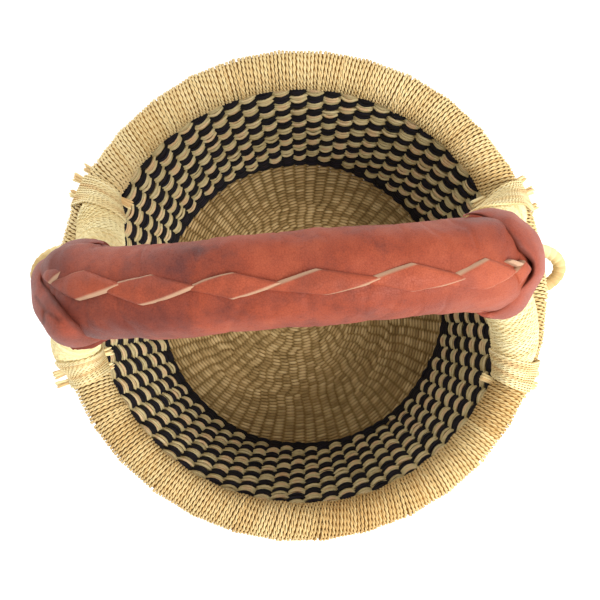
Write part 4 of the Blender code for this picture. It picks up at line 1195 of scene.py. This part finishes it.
# Each band as the camera sees it, end to end: points of its outer edge and of its edge on the grip, in pixels.
hood_bands = {
    "left": [
        (104, 242.0, 104, 245), (97, 239.6, 99, 244.2), (88, 238.4, 92, 244.6), (80, 238.7, 84, 246.5), (68.4, 241.6, 74, 251),
        (57.7, 248.2, 65, 257), (48.5, 256, 56, 262.5), (38.6, 262.3, 48.5, 266.5), (33, 271, 44.4, 272.5),
        (30.7, 280, 42.3, 280.5), (31.2, 291.3, 46, 286), (31.9, 302, 51, 291.5), (34, 311, 56, 299),
        (38, 318.5, 61, 306), (43.6, 327, 67, 313.5), (49.4, 336, 73, 320), (58.5, 343.6, 80, 326),
        (71.8, 347.7, 87, 331), (85, 346.5, 93.5, 334.5), (95, 343, 98.5, 337), (103, 339.5, 103, 338.3),
    ],
    "right": [
        (463, 215, 463, 217), (473, 211.2, 470, 214.5), (485, 208.2, 480, 215.8), (494, 208, 487, 218.8), (503.5, 209.9, 494, 223.2),
        (513.4, 212.4, 501, 228), (520.5, 218.2, 507, 234), (530, 225.7, 513, 241.5), (538.3, 234.8, 519, 250.5),
        (542.4, 243.9, 526, 256.5), (544.9, 254.7, 531, 262), (545.3, 263.8, 532.5, 268), (544.9, 272.1, 531, 275),
        (541.6, 279.6, 526, 281.5), (536, 288.7, 519.2, 287.5), (531.7, 296.2, 513.4, 291), (526.7, 305.3, 507.6, 298),
        (520, 312.7, 502, 303.5), (508.4, 318.6, 496, 308), (495.2, 319, 489.4, 311.5), (484, 315.5, 482, 314),
    ],
}
# Deep creases of the bands, in pixels.
band_creases = {
    "left": [[(36, 297), (44, 309), (44, 323)], [(46, 311), (60, 321)]],
    "right": [],
}
band_turn = np.radians(np.linspace(-38.0, 218.0, 32))
band_leather = leather_material("band_leather", dye(164, 80, 56), dye(148, 70, 50), dye(120, 58, 44), grain=1.2)
tree = band_leather.node_tree
wire = Wire(tree, None)
painted = Wire(tree, tree.nodes["Principled BSDF"].inputs["Base Color"].links[0].from_socket)
shade_mask = wire.node("ShaderNodeAttribute", {"attribute_name": "shade"}, output=2)
shaded = wire.node(
    "ShaderNodeMix",
    {"data_type": "RGBA", "blend_type": "MIX"},
    {"Factor": shade_mask, 6: painted, 7: dye(84, 38, 26)},
    output=2,
)
tree.links.new(shaded.socket, tree.nodes["Principled BSDF"].inputs["Base Color"])
for word, corners in hood_bands.items():
    hood = softened("hood_" + word, "fork_cover_" + word, 0.0011, 12)
    hood.data.materials.append(hood_leather)
    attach(hood, "basket")
    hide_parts("fork_cover_" + word)
    line = rounded_line(corners, 161)
    place = grip_place(line[:, 2:], GRIP_RADIUS)
    rough_height = on_grip(place[:, 0], place[:, 1], GRIP_RADIUS)[:, 2]
    along = np.linspace(-1.0, 1.0, len(line))
    height = np.polyval(np.polyfit(along, rough_height, 6), along)
    full = smooth((1.0 - np.abs(along)) / 0.22)
    out_share = (np.sin(band_turn) - np.sin(band_turn[0])) / (1.0 - np.sin(band_turn[0]))
    pixels = line[:, None, 2:] + (line[:, :2] - line[:, 2:])[:, None, :] * out_share[None, :, None]
    creased = np.zeros(pixels.shape[:-1])
    for crease in band_creases[word]:
        creased = np.maximum(creased, np.exp(-((from_line(pixels, crease) / 1.5) ** 2)))
    creased = creased * smooth(np.cos(band_turn) * 3.0 + 0.5)[None, :]
    drop = 0.0112 * (0.10 + 0.90 * full)[:, None]
    level = height[:, None] + 0.0014 * full[:, None] + drop * (np.cos(band_turn) - np.cos(band_turn[0]))[None, :]
    level = level - 0.0065 * full[:, None] * (np.clip(out_share, 0.0, 1.0) ** 1.5)[None, :]
    band_points = seen_at(pixels, level)
    level = level + ripples(band_points, 14, 0.009, 0.035, 17) * 0.0004 * full[:, None] - 0.0012 * creased
    band_points = seen_at(pixels, level)
    depth = 22.0 if word == "right" else 12.0
    inner_face = smooth((np.radians(-26.0 + depth) - band_turn) / np.radians(depth))
    shade = np.clip(0.78 * inner_face[None, :] * full[:, None] + 0.75 * creased, 0.0, 0.9)
    band = put(
        "hood_band_" + word,
        band_points,
        strand_quads(1, len(line), band_turn.size),
        {"shade": shade.ravel()},
    )
    band.data.materials.append(band_leather)
    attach(band, "basket")


# Hanging loops.
# Under the rim at each end of the handle a small grass loop is bound with flat straw and
# knotted through the wall at both ends. It swings down on its knots.
LOOP_RADIUS = 0.0046
loops = {"right": (math.radians(7.0), 0.0415, 0.1935), "left": (math.radians(175.0), 0.0520, 0.1980)}
loop_straw = straw_material(
    "loop_straw",
    [(0.05, dye(184, 146, 88)), (0.32, dye(218, 190, 134)), (0.58, dye(234, 214, 160)), (0.90, dye(242, 228, 184))],
    dye(226, 192, 138),
)
for word, (loop_angle, width, reach) in loops.items():
    joint = next(j for j in frame["joints"] if j["child"] == "hanging_loop_" + word)
    pivot = np.array(joint["pos_m"])
    out_way = np.array([math.cos(loop_angle), math.sin(loop_angle), 0.0])
    aside = np.cross(np.array([0.0, 0.0, 1.0]), out_way)
    half = width / 2.0 - LOOP_RADIUS
    run = reach - LOOP_RADIUS - math.hypot(pivot[0], pivot[1])
    fine = np.linspace(0.02, math.pi - 0.02, 600)
    line = (
        pivot
        + aside * (half * np.cos(fine))[:, None]
        + out_way * (run * np.maximum(np.sin(fine), 0.0) ** 0.8)[:, None]
    )
    line, _ = evened(line, line, 0.0004)
    side, top = frames_along(line, np.array([0.0, 0.0, 1.0]))
    walked = np.arange(len(line)) * 0.0004
    ring = np.linspace(0.0, math.tau, 16, endpoint=False)
    lap = (walked[:, None] / 0.0046 + ring[None, :] / math.tau) % 1.0
    band = LOOP_RADIUS - 0.0005 + 0.0006 * (lap**0.5) * smooth((1.0 - lap) / 0.12)
    points = carried(line, side, top, band * np.cos(ring)[None, :], band * np.sin(ring)[None, :])
    strip = np.floor(walked[:, None] / 0.0046 + ring[None, :] / math.tau)
    trait = np.stack(
        [
            np.broadcast_to(ring[None, :] * 0.012, lap.shape),
            lap * 2.0 - 1.0,
            (np.sin(strip * 12.9898) * 0.5 + 0.5),
        ],
        axis=-1,
    ).reshape(-1, 3)
    wrap = put("loop_wrap_" + word, points, strand_quads(1, len(line), 16), {"straw": trait})
    wrap.data.materials.append(loop_straw)
    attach(wrap, "hanging_loop_" + word)
    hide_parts("hanging_loop_binding_" + word, "hanging_loop_bundle_" + word)
    knot_points = []
    for sign in (-1.0, 1.0):
        spin = np.linspace(0.0, math.tau * 7.0, 7 * 26)
        tilt = np.linspace(-1.35, 1.35, 7 * 26)
        line = pivot + aside * half * sign + (LOOP_RADIUS - 0.0009) * (
            out_way * (np.cos(tilt) * np.cos(spin))[:, None]
            + np.array([0.0, 0.0, 1.0]) * (np.cos(tilt) * np.sin(spin))[:, None]
            + aside * np.sin(tilt)[:, None]
        )
        off = unit(line - (pivot + aside * half * sign))
        tangent = unit(np.gradient(line, axis=0))
        across, above = profile_ring(6, 0.0009, 0.0009)
        knot_points.append(carried(line, unit(np.cross(tangent, off)), off, across, above))
    knot_points = np.stack(knot_points)
    knots = put(
        "loop_knots_" + word,
        knot_points,
        strand_quads(2, knot_points.shape[1], 6),
        {"straw": straw_trait(knot_points, np.array([0.35, 0.6])[:, None, None])},
    )
    knots.data.materials.append(loop_straw)
    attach(knots, "hanging_loop_" + word)
